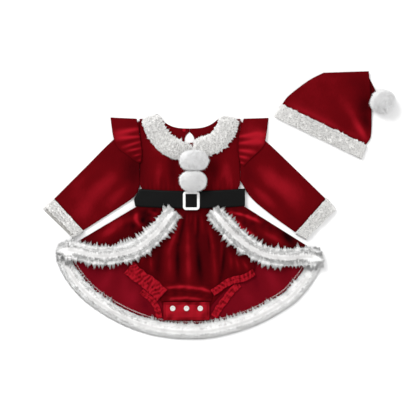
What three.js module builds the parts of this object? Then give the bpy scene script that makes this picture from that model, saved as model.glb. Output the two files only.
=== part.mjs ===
// A baby's festive romper with an attached cutaway overskirt, laid flat on its back, and its matching hat beside it.
// Millimetres, +Z up. The floor is Z = 0. Each cloth piece is a thin wall that lies on the pieces below it.
import * as THREE from "three";

// Placing of the two garments on the floor. The romper's own origin is on its centre line at the waist seam,
// and the hat's is at the middle of the brim's lower edge.
const ROMPER_PLACE = { x: -58.8, y: 7.15 };
const HAT_PLACE = { x: 196.8, y: 134.95, turn: -25.8 };

// Cloth and gaps
const CLOTH = 1.2; // velvet wall
const LAYER_GAP = 0.6; // air between one layer and the next
const SEAM_GAP = 0.3; // plan gap where two pieces are sewn edge to edge
const PILE_WALL = 3.4; // wall of the short curly pile on cuffs and brim

// Bodice
const BODICE = { left: -99.5, right: 101.3, shoulder: 166, waist: 0.3 };
const FRONT_NECK = { half: 57, bottom: 118, power: 2.2 };
const BACK_NECK = { half: 57, bottom: 147, power: 3 };
const KEYHOLE = { top: 139.5, length: 30, half: 9.5, rows: 0.43 };

// Belt: a closed band that bows down a little at the middle. Its left end is shifted by low at its lower corner,
// by out at its point and by top at its upper corner.
const BELT = { left: -102, right: 110.9, half: 17.5, middle: 4.5, bow: 5, wall: 1.3, deck: 9.9, side: 9.6 };
const BELT_END = { from: -60, low: -6, out: -8.5, top: 2.6, point: -0.2 };
const BUCKLE = { x: 3.8, y: 2.6, width: 33.4, height: 37.5, bar: 5.6, thick: 3, corner: 6 };

// Overskirt corners, where the cloth folds from the back round to the front
const SKIRT = { leftWaist: -90.6, rightWaist: 96, leftOpen: -30, rightOpen: 46, waist: -0.3 };
const LEFT_CORNER = { x: -222, y: -78 };
const RIGHT_CORNER = { x: 234, y: -87 };

// Bloomers under the overskirt
const BLOOMERS = { left: -88, right: 91, legLeft: -112, legRight: 131, legTop: -112, crotch: -199 };
const TAB = { left: -52, right: 40, top: -199.6, bottom: -235.4, thick: 2.6 };
const SNAP = { radius: 5.4, height: 1.7, y: -212, pitch: 27.4, middle: -5.8 };

// Chest pompoms, half sizes
const POMPOMS = [
  { name: "pompom_upper", x: 9.4, y: 81.7, rx: 29.5, ry: 20.2, rz: 19 },
  { name: "pompom_lower", x: 7.2, y: 41, rx: 27, ry: 20, rz: 18 },
];

// Hat
const HAT = { half: 94, brim: 29, brimHeight: 9, back: 3.4 };
const HAT_POMPOM = { x: 86, y: 121, r: 23.4, flat: 21 };

const PALETTE = { velvet: 0x8a0e18, fur: 0xe9e9e7, fleece: 0xe4e3df, belt: 0x141516, white: 0xf2f2f0, satin: 0x931522 };

// Small helpers
const clamp = (t) => Math.min(1, Math.max(0, t));
const mix = (a, b, t) => a + (b - a) * t;
const step = (a, b, x) => {
  const t = clamp((x - a) / (b - a));
  return t * t * (3 - 2 * t);
};

// A smooth plan curve through table rows with x and y. at(t) gives the point a share t of the way along.
function planCurve(rows) {
  const curve = new THREE.CatmullRomCurve3(
    rows.map((r) => new THREE.Vector3(r.x, r.y, 0)),
    false,
    "catmullrom",
    0.5,
  );
  return { at: (t) => curve.getPointAt(clamp(t)), tangent: (t) => curve.getTangentAt(clamp(t)) };
}

// Height of hand-placed creases at a point. Each row is a soft ridge from (x1, y1) to (x2, y2),
// w1 and w2 wide at its ends and high at the middle of its length. A negative high is a trough.
function creases(rows, x, y) {
  let z = 0;
  for (const r of rows) {
    const dx = r.x2 - r.x1;
    const dy = r.y2 - r.y1;
    const t = ((x - r.x1) * dx + (y - r.y1) * dy) / (dx * dx + dy * dy);
    const along = clamp(t);
    const away = Math.hypot(x - r.x1 - along * dx, y - r.y1 - along * dy);
    const wide = mix(r.w1, r.w2, along);
    z += r.high * (0.45 + 0.55 * Math.sin(Math.PI * along)) * Math.exp(-((away / wide) ** 2));
  }
  return z;
}

// Creases, in the romper's own frame
const BODICE_CREASES = [
  { x1: -66, y1: 24, x2: -60, y2: 70, w1: 5, w2: 9, high: 1.3 },
  { x1: -40, y1: 24, x2: -44, y2: 62, w1: 4, w2: 8, high: 1 },
  { x1: 52, y1: 24, x2: 66, y2: 64, w1: 5, w2: 10, high: 1.2 },
  { x1: 84, y1: 26, x2: 70, y2: 84, w1: 6, w2: 12, high: 1.1 },
  { x1: -78, y1: 118, x2: -50, y2: 92, w1: 8, w2: 10, high: 0.8 },
  { x1: 76, y1: 120, x2: 44, y2: 96, w1: 8, w2: 10, high: 0.9 },
];
const BLOOMER_GATHERS = [
  { x1: -13, y1: -17, x2: -24, y2: -50, w1: 3.5, w2: 6, high: 3.2 },
  { x1: -24, y1: -50, x2: -41, y2: -98, w1: 6, w2: 9, high: 3.4 },
  { x1: -41, y1: -98, x2: -38, y2: -150, w1: 9, w2: 10, high: 2.8 },
  { x1: -3, y1: -17, x2: -6, y2: -42, w1: 2.4, w2: 3, high: 2.2 },
  { x1: 4, y1: -17, x2: 2, y2: -40, w1: 2.4, w2: 3, high: 2.4 },
  { x1: 12, y1: -18, x2: 12.5, y2: -62, w1: 2.6, w2: 3.5, high: 2.8 },
  { x1: -4, y1: -45, x2: -3, y2: -95, w1: 5, w2: 8, high: 2.8 },
  { x1: -3, y1: -92, x2: -1, y2: -162, w1: 8, w2: 9, high: 3.6 },
  { x1: 24, y1: -20, x2: 27, y2: -60, w1: 3, w2: 5, high: 2.2 },
  { x1: 40, y1: -45, x2: 47, y2: -90, w1: 4.5, w2: 6, high: 2.8 },
  { x1: 47, y1: -88, x2: 53, y2: -156, w1: 6, w2: 7, high: 3.2 },
  { x1: 65.5, y1: -80, x2: 62, y2: -146, w1: 3.5, w2: 3.5, high: 2.4 },
  { x1: 82, y1: -104, x2: 84, y2: -132, w1: 4, w2: 4.5, high: 2.6 },
  { x1: 93, y1: -112, x2: 99, y2: -136, w1: 4, w2: 4.5, high: 2.6 },
  { x1: 107, y1: -118, x2: 118, y2: -136, w1: 4.5, w2: 4.5, high: 2.8 },
  { x1: -77, y1: -109, x2: -76, y2: -136, w1: 4, w2: 4, high: 2.6 },
  { x1: -91, y1: -106, x2: -98, y2: -122, w1: 4, w2: 4.5, high: 2.4 },
];
const CROTCH_CREASES = [
  { x1: -48, y1: -171, x2: -14, y2: -168.8, w1: 4, w2: 4, high: 3 },
  { x1: -18, y1: -168.8, x2: 28, y2: -173.5, w1: 4, w2: 4, high: 3 },
  { x1: 24, y1: -172.8, x2: 46, y2: -180, w1: 4, w2: 4, high: 2.8 },
  { x1: -44, y1: -194, x2: -6, y2: -191, w1: 4, w2: 4, high: 2.6 },
  { x1: -10, y1: -191, x2: 28, y2: -194.5, w1: 4, w2: 4, high: 2.6 },
];
const SKIRT_FRONT_CREASES = [
  { x1: -104, y1: -18, x2: -107, y2: -36, w1: 6, w2: 6, high: 3 },
  { x1: -107, y1: -36, x2: -94, y2: -50, w1: 6, w2: 5, high: 3 },
  { x1: -84, y1: -14, x2: -66, y2: -24, w1: 4, w2: 4, high: 3.2 },
  { x1: -74, y1: -34, x2: -62, y2: -44, w1: 5, w2: 5, high: 2 },
  { x1: -122, y1: -30, x2: -182, y2: -74, w1: 9, w2: 12, high: 1.8 },
  { x1: 68, y1: -14, x2: 114, y2: -28, w1: 4, w2: 4, high: 3.4 },
  { x1: 114, y1: -28, x2: 142, y2: -40, w1: 4, w2: 5, high: 3 },
  { x1: 94, y1: -37, x2: 104, y2: -53, w1: 4, w2: 5, high: 2.8 },
  { x1: 104, y1: -53, x2: 130, y2: -68, w1: 5, w2: 5, high: 2.8 },
  { x1: 80, y1: -24, x2: 92, y2: -36, w1: 4, w2: 4, high: 2.6 },
  { x1: 140, y1: -56, x2: 190, y2: -84, w1: 8, w2: 10, high: 1.8 },
];
const SKIRT_BACK_CREASES = [
  { x1: -150, y1: -128, x2: -176, y2: -176, w1: 9, w2: 14, high: 2.6 },
  { x1: -104, y1: -172, x2: -118, y2: -208, w1: 9, w2: 13, high: 2.6 },
  { x1: -206, y1: -112, x2: -226, y2: -134, w1: 7, w2: 9, high: 1.6 },
  { x1: 150, y1: -128, x2: 182, y2: -176, w1: 8, w2: 13, high: 3 },
  { x1: 104, y1: -172, x2: 128, y2: -208, w1: 9, w2: 13, high: 2.4 },
  { x1: 200, y1: -120, x2: 222, y2: -146, w1: 7, w2: 9, high: 1.6 },
];
const RUFFLE_CREASES = [
  { x1: -99, y1: 146, x2: -145, y2: 136, w1: 4, w2: 7, high: 2.8 },
  { x1: -99, y1: 130, x2: -143, y2: 126, w1: 3, w2: 6, high: 3.4 },
  { x1: -97, y1: 120, x2: -132, y2: 109, w1: 3, w2: 5, high: 3 },
  { x1: -97, y1: 107, x2: -124, y2: 101, w1: 2.8, w2: 4, high: 3 },
  { x1: -97, y1: 95, x2: -112, y2: 91, w1: 2.6, w2: 3.2, high: 2.6 },
  { x1: -96, y1: 84, x2: -103, y2: 82, w1: 2.4, w2: 2.6, high: 2 },
  { x1: 98, y1: 130, x2: 148, y2: 134, w1: 3, w2: 7, high: 3.2 },
  { x1: 98, y1: 116.5, x2: 144, y2: 120, w1: 3, w2: 6, high: 3.4 },
  { x1: 98, y1: 103, x2: 129, y2: 99, w1: 3, w2: 5, high: 3 },
  { x1: 98, y1: 91, x2: 117, y2: 87, w1: 2.6, w2: 4, high: 2.8 },
  { x1: 100, y1: 79, x2: 109, y2: 77, w1: 2.4, w2: 2.8, high: 2.2 },
];
const SLEEVE_CREASES = [
  { x1: -140, y1: 60, x2: -200, y2: 12, w1: 14, w2: 18, high: 1.2 },
  { x1: -120, y1: 36, x2: -160, y2: -4, w1: 8, w2: 12, high: 1 },
  { x1: 140, y1: 62, x2: 206, y2: 8, w1: 14, w2: 18, high: 1.2 },
  { x1: 122, y1: 34, x2: 178, y2: -16, w1: 8, w2: 12, high: 1.2 },
];
const HAT_CREASES = [
  { x1: 84, y1: 38, x2: 34, y2: 84, w1: 5, w2: 13, high: 2.6 },
  { x1: 84, y1: 60, x2: 40, y2: 136, w1: 8, w2: 10, high: -0.9 },
  { x1: -60, y1: 40, x2: 30, y2: 42, w1: 8, w2: 8, high: 0.9 },
  { x1: -40, y1: 112, x2: 20, y2: 140, w1: 7, w2: 9, high: 0.8 },
];

// Outlines, in the romper's own frame. Each row is a station along the edge.
const HEM_FUR_LINE = [
  { x: -250, y: -84 },
  { x: -251.5, y: -104 },
  { x: -247, y: -123 },
  { x: -236, y: -143 },
  { x: -217, y: -168 },
  { x: -190, y: -193 },
  { x: -145, y: -222 },
  { x: -97, y: -243 },
  { x: -52, y: -253 },
  { x: -4, y: -256.5 },
  { x: 47, y: -253.5 },
  { x: 111, y: -238 },
  { x: 157, y: -217 },
  { x: 197, y: -192 },
  { x: 217, y: -172 },
  { x: 231, y: -155 },
  { x: 243, y: -137 },
  { x: 251, y: -122 },
  { x: 250, y: -104 },
];
const LEFT_FUR_LINE = [
  { x: -31, y: -19 },
  { x: -43, y: -33 },
  { x: -65, y: -61 },
  { x: -91, y: -84 },
  { x: -118, y: -98 },
  { x: -150, y: -105 },
  { x: -187, y: -106 },
  { x: -218, y: -98 },
  { x: -240, y: -95 },
  { x: -261, y: -96 },
];
const RIGHT_FUR_LINE = [
  { x: 47, y: -17 },
  { x: 58, y: -31 },
  { x: 76, y: -52 },
  { x: 96, y: -71 },
  { x: 120, y: -90 },
  { x: 149, y: -104 },
  { x: 180, y: -110 },
  { x: 206, y: -110 },
  { x: 234, y: -108 },
  { x: 263, y: -113 },
];
const COLLAR_WIDTH = 42;
const LEFT_COLLAR_LINE = [
  { x: -77, y: 171 },
  { x: -73, y: 156 },
  { x: -66, y: 141 },
  { x: -56, y: 126 },
  { x: -46, y: 116 },
  { x: -33, y: 108 },
  { x: -19, y: 104 },
  { x: -8, y: 106.5 },
  { x: -1, y: 114 },
];
const RIGHT_COLLAR_LINE = [
  { x: 79, y: 169 },
  { x: 76, y: 152 },
  { x: 70, y: 139 },
  { x: 57, y: 123 },
  { x: 41, y: 113.5 },
  { x: 25, y: 110 },
  { x: 9, y: 113.5 },
];
const LEG_BANDS = [
  {
    name: "leg_band_left_front",
    width: 29,
    waves: 11,
    front: true,
    line: [
      { x: -121, y: -131 },
      { x: -104, y: -145 },
      { x: -87, y: -157 },
      { x: -70, y: -171 },
      { x: -54, y: -186 },
    ],
  },
  {
    name: "leg_band_right_front",
    width: 14,
    waves: 14,
    front: true,
    line: [
      { x: 129, y: -140 },
      { x: 110, y: -151 },
      { x: 90, y: -155 },
      { x: 73, y: -162 },
      { x: 58, y: -173 },
      { x: 46, y: -181 },
    ],
  },
  {
    name: "leg_band_left_back",
    width: 12,
    waves: 9,
    front: false,
    line: [
      { x: -96, y: -178 },
      { x: -78, y: -193 },
      { x: -66, y: -209 },
      { x: -59.5, y: -230.5 },
    ],
  },
  {
    name: "leg_band_right_back",
    width: 14,
    waves: 11,
    front: false,
    line: [
      { x: 99, y: -164 },
      { x: 85, y: -177 },
      { x: 74.5, y: -191 },
      { x: 61, y: -209 },
      { x: 49, y: -229 },
    ],
  },
];
// Sleeve edges from the armhole to the cuff seam, then on to the cuff's mouth
const SLEEVES = [
  {
    side: "left",
    top: [
      { x: -99.8, y: 162 },
      { x: -150, y: 126 },
      { x: -210, y: 66.5 },
      { x: -270, y: 6.4 },
    ],
    under: [
      { x: -99.8, y: 29.5 },
      { x: -111.5, y: 9.5 },
      { x: -160, y: -23.5 },
      { x: -212, y: -57 },
    ],
    mouthTop: { x: -292, y: -15 },
    mouthUnder: { x: -234, y: -71 },
    peek: 7,
  },
  {
    side: "right",
    top: [
      { x: 101.6, y: 162 },
      { x: 152, y: 122 },
      { x: 212, y: 65 },
      { x: 272, y: 6.4 },
    ],
    under: [
      { x: 101.6, y: 42 },
      { x: 124, y: 7.5 },
      { x: 166, y: -28 },
      { x: 212, y: -61 },
    ],
    mouthTop: { x: 291, y: -16.6 },
    mouthUnder: { x: 233, y: -72 },
    peek: 0,
  },
];
const SLEEVE = { height: 5.4, cuffHeight: 9, around: 16, along: 6 };
// Shoulder ruffles: the gathered seam edge and the free outer edge, from the shoulder down
const RUFFLES = [
  {
    name: "shoulder_ruffle_left",
    seam: [
      { x: -105, y: 166 },
      { x: -101, y: 144 },
      { x: -97, y: 117.5 },
      { x: -95, y: 98 },
      { x: -96, y: 81 },
    ],
    free: [
      { x: -158, y: 169 },
      { x: -155, y: 148 },
      { x: -150, y: 123 },
      { x: -141, y: 106 },
      { x: -127, y: 95.5 },
      { x: -109, y: 82 },
      { x: -99, y: 78 },
    ],
  },
  {
    name: "shoulder_ruffle_right",
    seam: [
      { x: 108, y: 166 },
      { x: 100, y: 136 },
      { x: 98, y: 104 },
      { x: 102, y: 75 },
    ],
    free: [
      { x: 158, y: 168 },
      { x: 154, y: 138 },
      { x: 148, y: 112 },
      { x: 132, y: 95 },
      { x: 118, y: 82 },
      { x: 108, y: 71 },
    ],
  },
];
// Height over the sleeve seam, and how far the free corner falls past the sleeve's top edge
const RUFFLE = { deck: 5.9, fall: 4.6 };
// Hat crown edges, in the hat's own frame, from the brim up to the fold
const HAT_LEFT = [
  { x: -93, y: 29.6 },
  { x: -88, y: 52 },
  { x: -66, y: 95 },
  { x: -46, y: 122 },
];
const HAT_RIGHT = [
  { x: 93, y: 29.6 },
  { x: 94, y: 51 },
  { x: 72, y: 98 },
  { x: 34, y: 164 },
];

// Heights of the stack. Each one is the top of what lies at (x, y) in the romper's frame.
const beltRise = (y) => (BELT.wall + LAYER_GAP) * (step(-64, -18, y) - step(32, 72, y));
const backTop = (x, y) => beltRise(y) + CLOTH + (y < 0 ? creases(SKIRT_BACK_CREASES, x, y) : 0);
const bodiceLoft = (x, y) => 2.2 * (1 - step(60, 99, Math.abs(x - 1.5))) * step(-10, 40, y);
const bodiceUnder = (x, y) => beltRise(y) + CLOTH + LAYER_GAP + bodiceLoft(x, y);
const bodiceTop = (x, y) => bodiceUnder(x, y) + CLOTH + creases(BODICE_CREASES, x, y);

// Depth inside the V that the overskirt's two front edges leave open: 0 under them and 1 in the open
function openV(x, y) {
  const side = x < 0 ? { x: 29, y: -14, run: 92, fall: 82 } : { x: 47, y: -16, run: 104, fall: 88 };
  const line = side.y - side.fall * clamp((Math.abs(x) - side.x) / side.run) ** 0.8;
  return step(0, 24, line - y);
}
const gathers = (x, y) => creases(BLOOMER_GATHERS, x, y) * step(-4, -26, y) * openV(x, y);
const bloomerFolds = (x, y) => gathers(x, y) + creases(CROTCH_CREASES, x, y);
const bloomersBackUnder = (x, y) => beltRise(y) + CLOTH + LAYER_GAP;
const bloomersUnder = (x, y) => bloomersBackUnder(x, y) + CLOTH + LAYER_GAP + 0.6 * bloomerFolds(x, y);
const bloomersThick = (x, y) => CLOTH + 0.4 * bloomerFolds(x, y);

// Distance inside the overskirt's side fold, which runs from the waist to a corner
function insideFold(x, y) {
  const corner = x < 0 ? LEFT_CORNER : RIGHT_CORNER;
  const waist = x < 0 ? SKIRT.leftWaist : SKIRT.rightWaist;
  const dx = corner.x - waist;
  const dy = corner.y - SKIRT.waist;
  const side = (x - waist) * dy - (y - SKIRT.waist) * dx;
  return (Math.sign(dx) * side) / Math.hypot(dx, dy);
}
const skirtRise = (x, y) => mix(3.7, 7.4 * step(-10, 26, insideFold(x, y)), step(-15, -42, y));
const skirtFrontUnder = (x, y) => beltRise(y) + CLOTH + 0.7 + skirtRise(x, y);
const skirtFrontFolds = (x, y) => creases(SKIRT_FRONT_CREASES, x, y) * step(-14, -26, y);
const skirtFrontTop = (x, y) => skirtFrontUnder(x, y) + CLOTH + skirtFrontFolds(x, y);

// Geometry

// Closed solid from two grids of points, grid[i][j]. Round means that i runs round a closed ring.
function wallBetween(upper, lower, round = false) {
  const rows = upper.length;
  const cols = upper[0].length;
  const points = [];
  for (const grid of [upper, lower]) for (const line of grid) for (const p of line) points.push(p.x, p.y, p.z);
  const up = (i, j) => (i % rows) * cols + j;
  const low = (i, j) => rows * cols + up(i, j);
  const faces = [];
  const quad = (a, b, c, d) => faces.push(a, b, c, a, c, d);
  const last = round ? rows : rows - 1;
  for (let i = 0; i < last; i++) {
    for (let j = 0; j < cols - 1; j++) {
      quad(up(i, j), up(i + 1, j), up(i + 1, j + 1), up(i, j + 1));
      quad(low(i, j), low(i, j + 1), low(i + 1, j + 1), low(i + 1, j));
    }
    quad(up(i, 0), low(i, 0), low(i + 1, 0), up(i + 1, 0));
    quad(up(i + 1, cols - 1), low(i + 1, cols - 1), low(i, cols - 1), up(i, cols - 1));
  }
  if (!round)
    for (let j = 0; j < cols - 1; j++) {
      quad(up(0, j + 1), low(0, j + 1), low(0, j), up(0, j));
      quad(up(last, j), low(last, j), low(last, j + 1), up(last, j + 1));
    }
  return outward(points, faces);
}

// Turns the faces outwards if the signed volume is negative
function outward(points, faces) {
  let volume = 0;
  const p = (k) => new THREE.Vector3(points[3 * k], points[3 * k + 1], points[3 * k + 2]);
  for (let f = 0; f < faces.length; f += 3)
    volume += p(faces[f]).dot(p(faces[f + 1]).cross(p(faces[f + 2])));
  if (volume < 0) for (let f = 0; f < faces.length; f += 3) [faces[f], faces[f + 1]] = [faces[f + 1], faces[f]];
  const geometry = new THREE.BufferGeometry();
  geometry.setAttribute("position", new THREE.Float32BufferAttribute(points, 3));
  geometry.setIndex(faces);
  geometry.computeVertexNormals();
  return geometry;
}

// A sheet that lies on what is below it: plan(u, v) gives its point, under the height of its lower face, thick its wall
function layer(across, along, plan, under, thick) {
  const upper = [];
  const lower = [];
  for (let i = 0; i <= across; i++) {
    upper.push([]);
    lower.push([]);
    for (let j = 0; j <= along; j++) {
      const u = i / across;
      const v = j / along;
      const at = plan(u, v);
      const z = under(at.x, at.y, u, v);
      lower[i].push(new THREE.Vector3(at.x, at.y, z));
      upper[i].push(new THREE.Vector3(at.x, at.y, z + thick(at.x, at.y, u, v)));
    }
  }
  return wallBetween(upper, lower);
}

// Share of the full width at v of a strip's length, with its ends rounded over the shares head and tail
function roundEnds(v, head, tail) {
  const near = (share, reach) => (reach ? Math.sqrt(clamp(1 - (1 - clamp(share / reach)) ** 2)) : 1);
  return mix(0.25, 1, near(v, head) * near(1 - v, tail));
}

// The plan of a strip of the given width along a centre line. u runs across it and v along it.
function stripPlan(line, width, head = 0, tail = 0) {
  return (u, v) => {
    const p = line.at(v);
    const t = line.tangent(v);
    const off = (u - 0.5) * width * roundEnds(v, head, tail);
    return { x: p.x - t.y * off, y: p.y + t.x * off };
  };
}

// A flattened tube between two edge lines. Its section is a ring that lies flat on the floor.
function flatTube({ from, to, along, around, height, wall, lift = () => 0, pull = () => ({ x: 0, y: 0 }) }) {
  const outer = [];
  const inner = [];
  for (let i = 0; i < around; i++) {
    const angle = (i / around) * 2 * Math.PI;
    const c = Math.sign(Math.cos(angle)) * Math.abs(Math.cos(angle)) ** 0.8;
    const s = Math.sign(Math.sin(angle)) * Math.abs(Math.sin(angle)) ** 0.45;
    outer.push([]);
    inner.push([]);
    for (let j = 0; j <= along; j++) {
      const v = j / along;
      const a = from(v);
      const b = to(v);
      const half = Math.hypot(a.x - b.x, a.y - b.y) / 2;
      const place = (share, z, isUpper) => {
        const shift = pull(v, isUpper);
        const x = mix(b.x, a.x, 0.5 + share / 2) + shift.x;
        const y = mix(b.y, a.y, 0.5 + share / 2) + shift.y;
        return new THREE.Vector3(x, y, z + (isUpper ? lift(x, y) : 0));
      };
      const isUpper = s > 0.3;
      outer[i].push(place(c, (height / 2) * (1 + s), isUpper));
      inner[i].push(place((c * (half - wall * 1.3)) / half, height / 2 + (height / 2 - wall) * s, isUpper));
    }
  }
  return wallBetween(outer, inner, true);
}

const finish = (colour, roughness) => new THREE.MeshStandardMaterial({ color: colour, roughness, metalness: 0 });
function piece(name, geometry, colour, roughness = 0.8) {
  const mesh = new THREE.Mesh(geometry, finish(colour, roughness));
  mesh.name = name;
  return mesh;
}

// Bodice

const neckEdge = (neck, x) =>
  Math.abs(x) < neck.half
    ? neck.bottom + (BODICE.shoulder - neck.bottom) * (Math.abs(x) / neck.half) ** neck.power
    : BODICE.shoulder;

// The belt draws the sides in a little
const drawIn = (y) => 1 - 0.045 * step(37, 24, y);

function bodiceFront() {
  const plan = (u, v) => {
    const x = mix(BODICE.left, BODICE.right, u);
    const y = mix(BODICE.waist, neckEdge(FRONT_NECK, x), v);
    return { x: x * drawIn(y), y };
  };
  return layer(16, 9, plan, bodiceUnder, (x, y) => CLOTH + creases(BODICE_CREASES, x, y));
}

// Half of the back, from the centre-back seam, which opens into the keyhole below the neck, to the armhole
function bodiceBack(side) {
  const edge = side < 0 ? -BODICE.left : BODICE.right;
  const foot = KEYHOLE.top - KEYHOLE.length;
  const opening = (y) => KEYHOLE.half * Math.sin(Math.PI * clamp((KEYHOLE.top - y) / KEYHOLE.length)) ** 0.8;
  const plan = (u, v) => {
    const above = (v - KEYHOLE.rows) / (1 - KEYHOLE.rows);
    const y = above < 0 ? mix(BODICE.waist, foot, v / KEYHOLE.rows) : mix(foot, neckEdge(BACK_NECK, edge * u), above);
    return { x: side * mix(opening(y) + SEAM_GAP / 2, edge * drawIn(y), u), y };
  };
  return layer(4, 14, plan, (x, y) => beltRise(y), () => CLOTH);
}

// A collar half: thick curly pile that lies round the neck and reaches just over the shoulder edge at its top end
function collar(rows) {
  const plan = stripPlan(planCurve(rows), COLLAR_WIDTH, 0.08, 0.2);
  const under = (x, y) => bodiceTop(x, Math.min(y, BODICE.shoulder)) + LAYER_GAP;
  const thick = (x, y, u, v) => {
    const edge = 1 - (2 * u - 1) ** 4;
    return mix(2, 6, edge) * mix(0.6, 1, step(0, 0.12, v) * step(1, 0.9, v));
  };
  return layer(5, 12, plan, under, thick);
}

function shoulderRuffle({ seam, free }) {
  const inner = planCurve(seam);
  const outer = planCurve(free);
  const plan = (u, v) => {
    const a = inner.at(u);
    const b = outer.at(u);
    return { x: mix(a.x, b.x, v), y: mix(a.y, b.y, v) };
  };
  const beyond = (x, y) => 0.807 * (y - 162) + 0.591 * (Math.abs(x) - 99);
  const under = (x, y) => RUFFLE.deck - RUFFLE.fall * step(6, 34, beyond(x, y)) + 0.7 * creases(RUFFLE_CREASES, x, y);
  return layer(30, 4, plan, under, (x, y) => CLOTH + 0.3 * creases(RUFFLE_CREASES, x, y));
}

function sleeve({ top, under }) {
  const a = planCurve(top);
  const b = planCurve(under);
  return flatTube({
    from: (v) => a.at(v),
    to: (v) => b.at(v),
    along: SLEEVE.along,
    around: SLEEVE.around,
    height: SLEEVE.height,
    wall: CLOTH,
    lift: (x, y) => creases(SLEEVE_CREASES, x, y) * step(-230, -190, -Math.abs(x)) * step(104, 124, Math.abs(x)),
  });
}

// A cuff runs on from the sleeve. peek sets its front lip back, so the inside of the back shows at the mouth.
function cuff({ top, under, mouthTop, mouthUnder, peek }) {
  const a = top.at(-1);
  const b = under.at(-1);
  const dx = (mouthTop.x - a.x + mouthUnder.x - b.x) / 2;
  const dy = (mouthTop.y - a.y + mouthUnder.y - b.y) / 2;
  const long = Math.hypot(dx, dy);
  const seam = SEAM_GAP / long;
  return flatTube({
    from: (v) => ({ x: mix(a.x, mouthTop.x, mix(seam, 1, v)), y: mix(a.y, mouthTop.y, mix(seam, 1, v)) }),
    to: (v) => ({ x: mix(b.x, mouthUnder.x, mix(seam, 1, v)), y: mix(b.y, mouthUnder.y, mix(seam, 1, v)) }),
    along: 3,
    around: SLEEVE.around,
    height: SLEEVE.cuffHeight,
    wall: PILE_WALL,
    pull: (v, isUpper) => {
      const back = isUpper ? (-peek * v) / long : 0;
      return { x: dx * back, y: dy * back };
    },
  });
}

// Waist

// How far the belt's left end is shifted, at t from -1 at its lower edge to 1 at its upper edge
function endShift(t) {
  const { low, out, top, point } = BELT_END;
  return t < point ? mix(low, out, (t + 1) / (point + 1)) : mix(out, top, (t - point) / (1 - point));
}

function belt() {
  const around = 32;
  const ringPoint = (angle, inset, y) => {
    const half = (BELT.right - BELT.left) / 2 - inset;
    const c = Math.sign(Math.cos(angle)) * Math.abs(Math.cos(angle)) ** 0.7;
    const s = Math.sign(Math.sin(angle)) * Math.abs(Math.sin(angle)) ** 0.08;
    const x = (BELT.left + BELT.right) / 2 + half * c;
    const top = mix(BELT.deck, BELT.side, step(50, 108, Math.abs(x))) + BELT.wall;
    const z = mix(inset, top - inset, 0.5 + 0.5 * s);
    const share = Math.abs(x) / BELT.right;
    const t = y / BELT.half;
    return new THREE.Vector3(x + step(BELT_END.from, BELT.left, x) * endShift(t), y + BELT.middle + BELT.bow * share * share, z);
  };
  const ring = (inset) =>
    Array.from({ length: around }, (_, i) =>
      Array.from({ length: 4 }, (_, j) =>
        ringPoint((i / around) * 2 * Math.PI, inset, mix(-BELT.half, BELT.half, j / 3)),
      ),
    );
  return wallBetween(ring(0), ring(BELT.wall), true);
}

// A rounded rectangle as a shape or a hole
function roundedRect(path, w, h, r) {
  path.moveTo(-w / 2 + r, -h / 2);
  path.lineTo(w / 2 - r, -h / 2);
  path.absarc(w / 2 - r, -h / 2 + r, r, -Math.PI / 2, 0);
  path.lineTo(w / 2, h / 2 - r);
  path.absarc(w / 2 - r, h / 2 - r, r, 0, Math.PI / 2);
  path.lineTo(-w / 2 + r, h / 2);
  path.absarc(-w / 2 + r, h / 2 - r, r, Math.PI / 2, Math.PI);
  path.lineTo(-w / 2, -h / 2 + r);
  path.absarc(-w / 2 + r, -h / 2 + r, r, Math.PI, 1.5 * Math.PI);
  return path;
}

function buckle() {
  const { width, height, bar, corner, thick } = BUCKLE;
  const shape = roundedRect(new THREE.Shape(), width, height, corner);
  shape.holes.push(roundedRect(new THREE.Path(), width - 2 * bar, height - 2 * bar, corner / 3));
  return new THREE.ExtrudeGeometry(shape, { depth: thick, bevelEnabled: false, curveSegments: 3 });
}

// Overskirt

const skirtHem = planCurve(HEM_FUR_LINE);

function skirtBack() {
  const hemInset = 18.2;
  const plan = (u, v) => {
    const t = mix(0.035, 0.972, u);
    const p = skirtHem.at(t);
    const d = skirtHem.tangent(t);
    const hem = { x: p.x - d.y * hemInset, y: p.y + d.x * hemInset };
    return {
      x: mix(mix(SKIRT.leftWaist, SKIRT.rightWaist, u), hem.x, v),
      y: mix(SKIRT.waist, hem.y, v),
    };
  };
  return layer(22, 8, plan, (x, y) => beltRise(y), (x, y) => backTop(x, y) - beltRise(y));
}

// A front panel: from the waist to the edge that the fur follows. The panel's edge lies under the fur, and turns
// up to the corner, past which the fur runs on.
function skirtFront(line, side) {
  const edge = planCurve(line);
  const reach = 0.87;
  const outer = side < 0 ? SKIRT.leftWaist : SKIRT.rightWaist;
  const corner = side < 0 ? LEFT_CORNER : RIGHT_CORNER;
  const plan = (u, v) => {
    const p = edge.at(u * reach);
    const d = edge.tangent(u * reach);
    const turned = step(0.75, 1, u);
    const low = { x: mix(p.x + side * d.y * 4, corner.x, turned), y: mix(p.y - side * d.x * 4, corner.y, turned) };
    const top = { x: mix(side < 0 ? SKIRT.leftOpen : SKIRT.rightOpen, outer, u ** 0.8), y: SKIRT.waist };
    return { x: mix(top.x, low.x, v), y: mix(top.y, low.y, v) };
  };
  return layer(18, 11, plan, skirtFrontUnder, (x, y) => CLOTH + skirtFrontFolds(x, y));
}

// A band of long pile. Its section is a rounded hump on what is below it, and low is its share of the height at
// its two ends, where other fur lies over it.
function furBand(line, { width, height, along, under, head, tail, crowd, low }) {
  // Stations crowd towards the ends, which are rounded
  const at = (v) => v - (crowd * Math.sin(2 * Math.PI * v)) / (2 * Math.PI);
  const plan = stripPlan(planCurve(line), width, head, tail);
  const hump = (u, v) => {
    const across = Math.sqrt(clamp(1 - (2 * u - 1) ** 2));
    const ends = mix(low, 1, step(0.055, 0.115, Math.min(v, 1 - v)));
    return height * mix(0.16, 1, across) * mix(0.2, 1, roundEnds(v, head, tail)) * ends;
  };
  return layer(6, along, (u, v) => plan(u, at(v)), under, (x, y, u, v) => hump(u, at(v)));
}

// Bloomers

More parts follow.
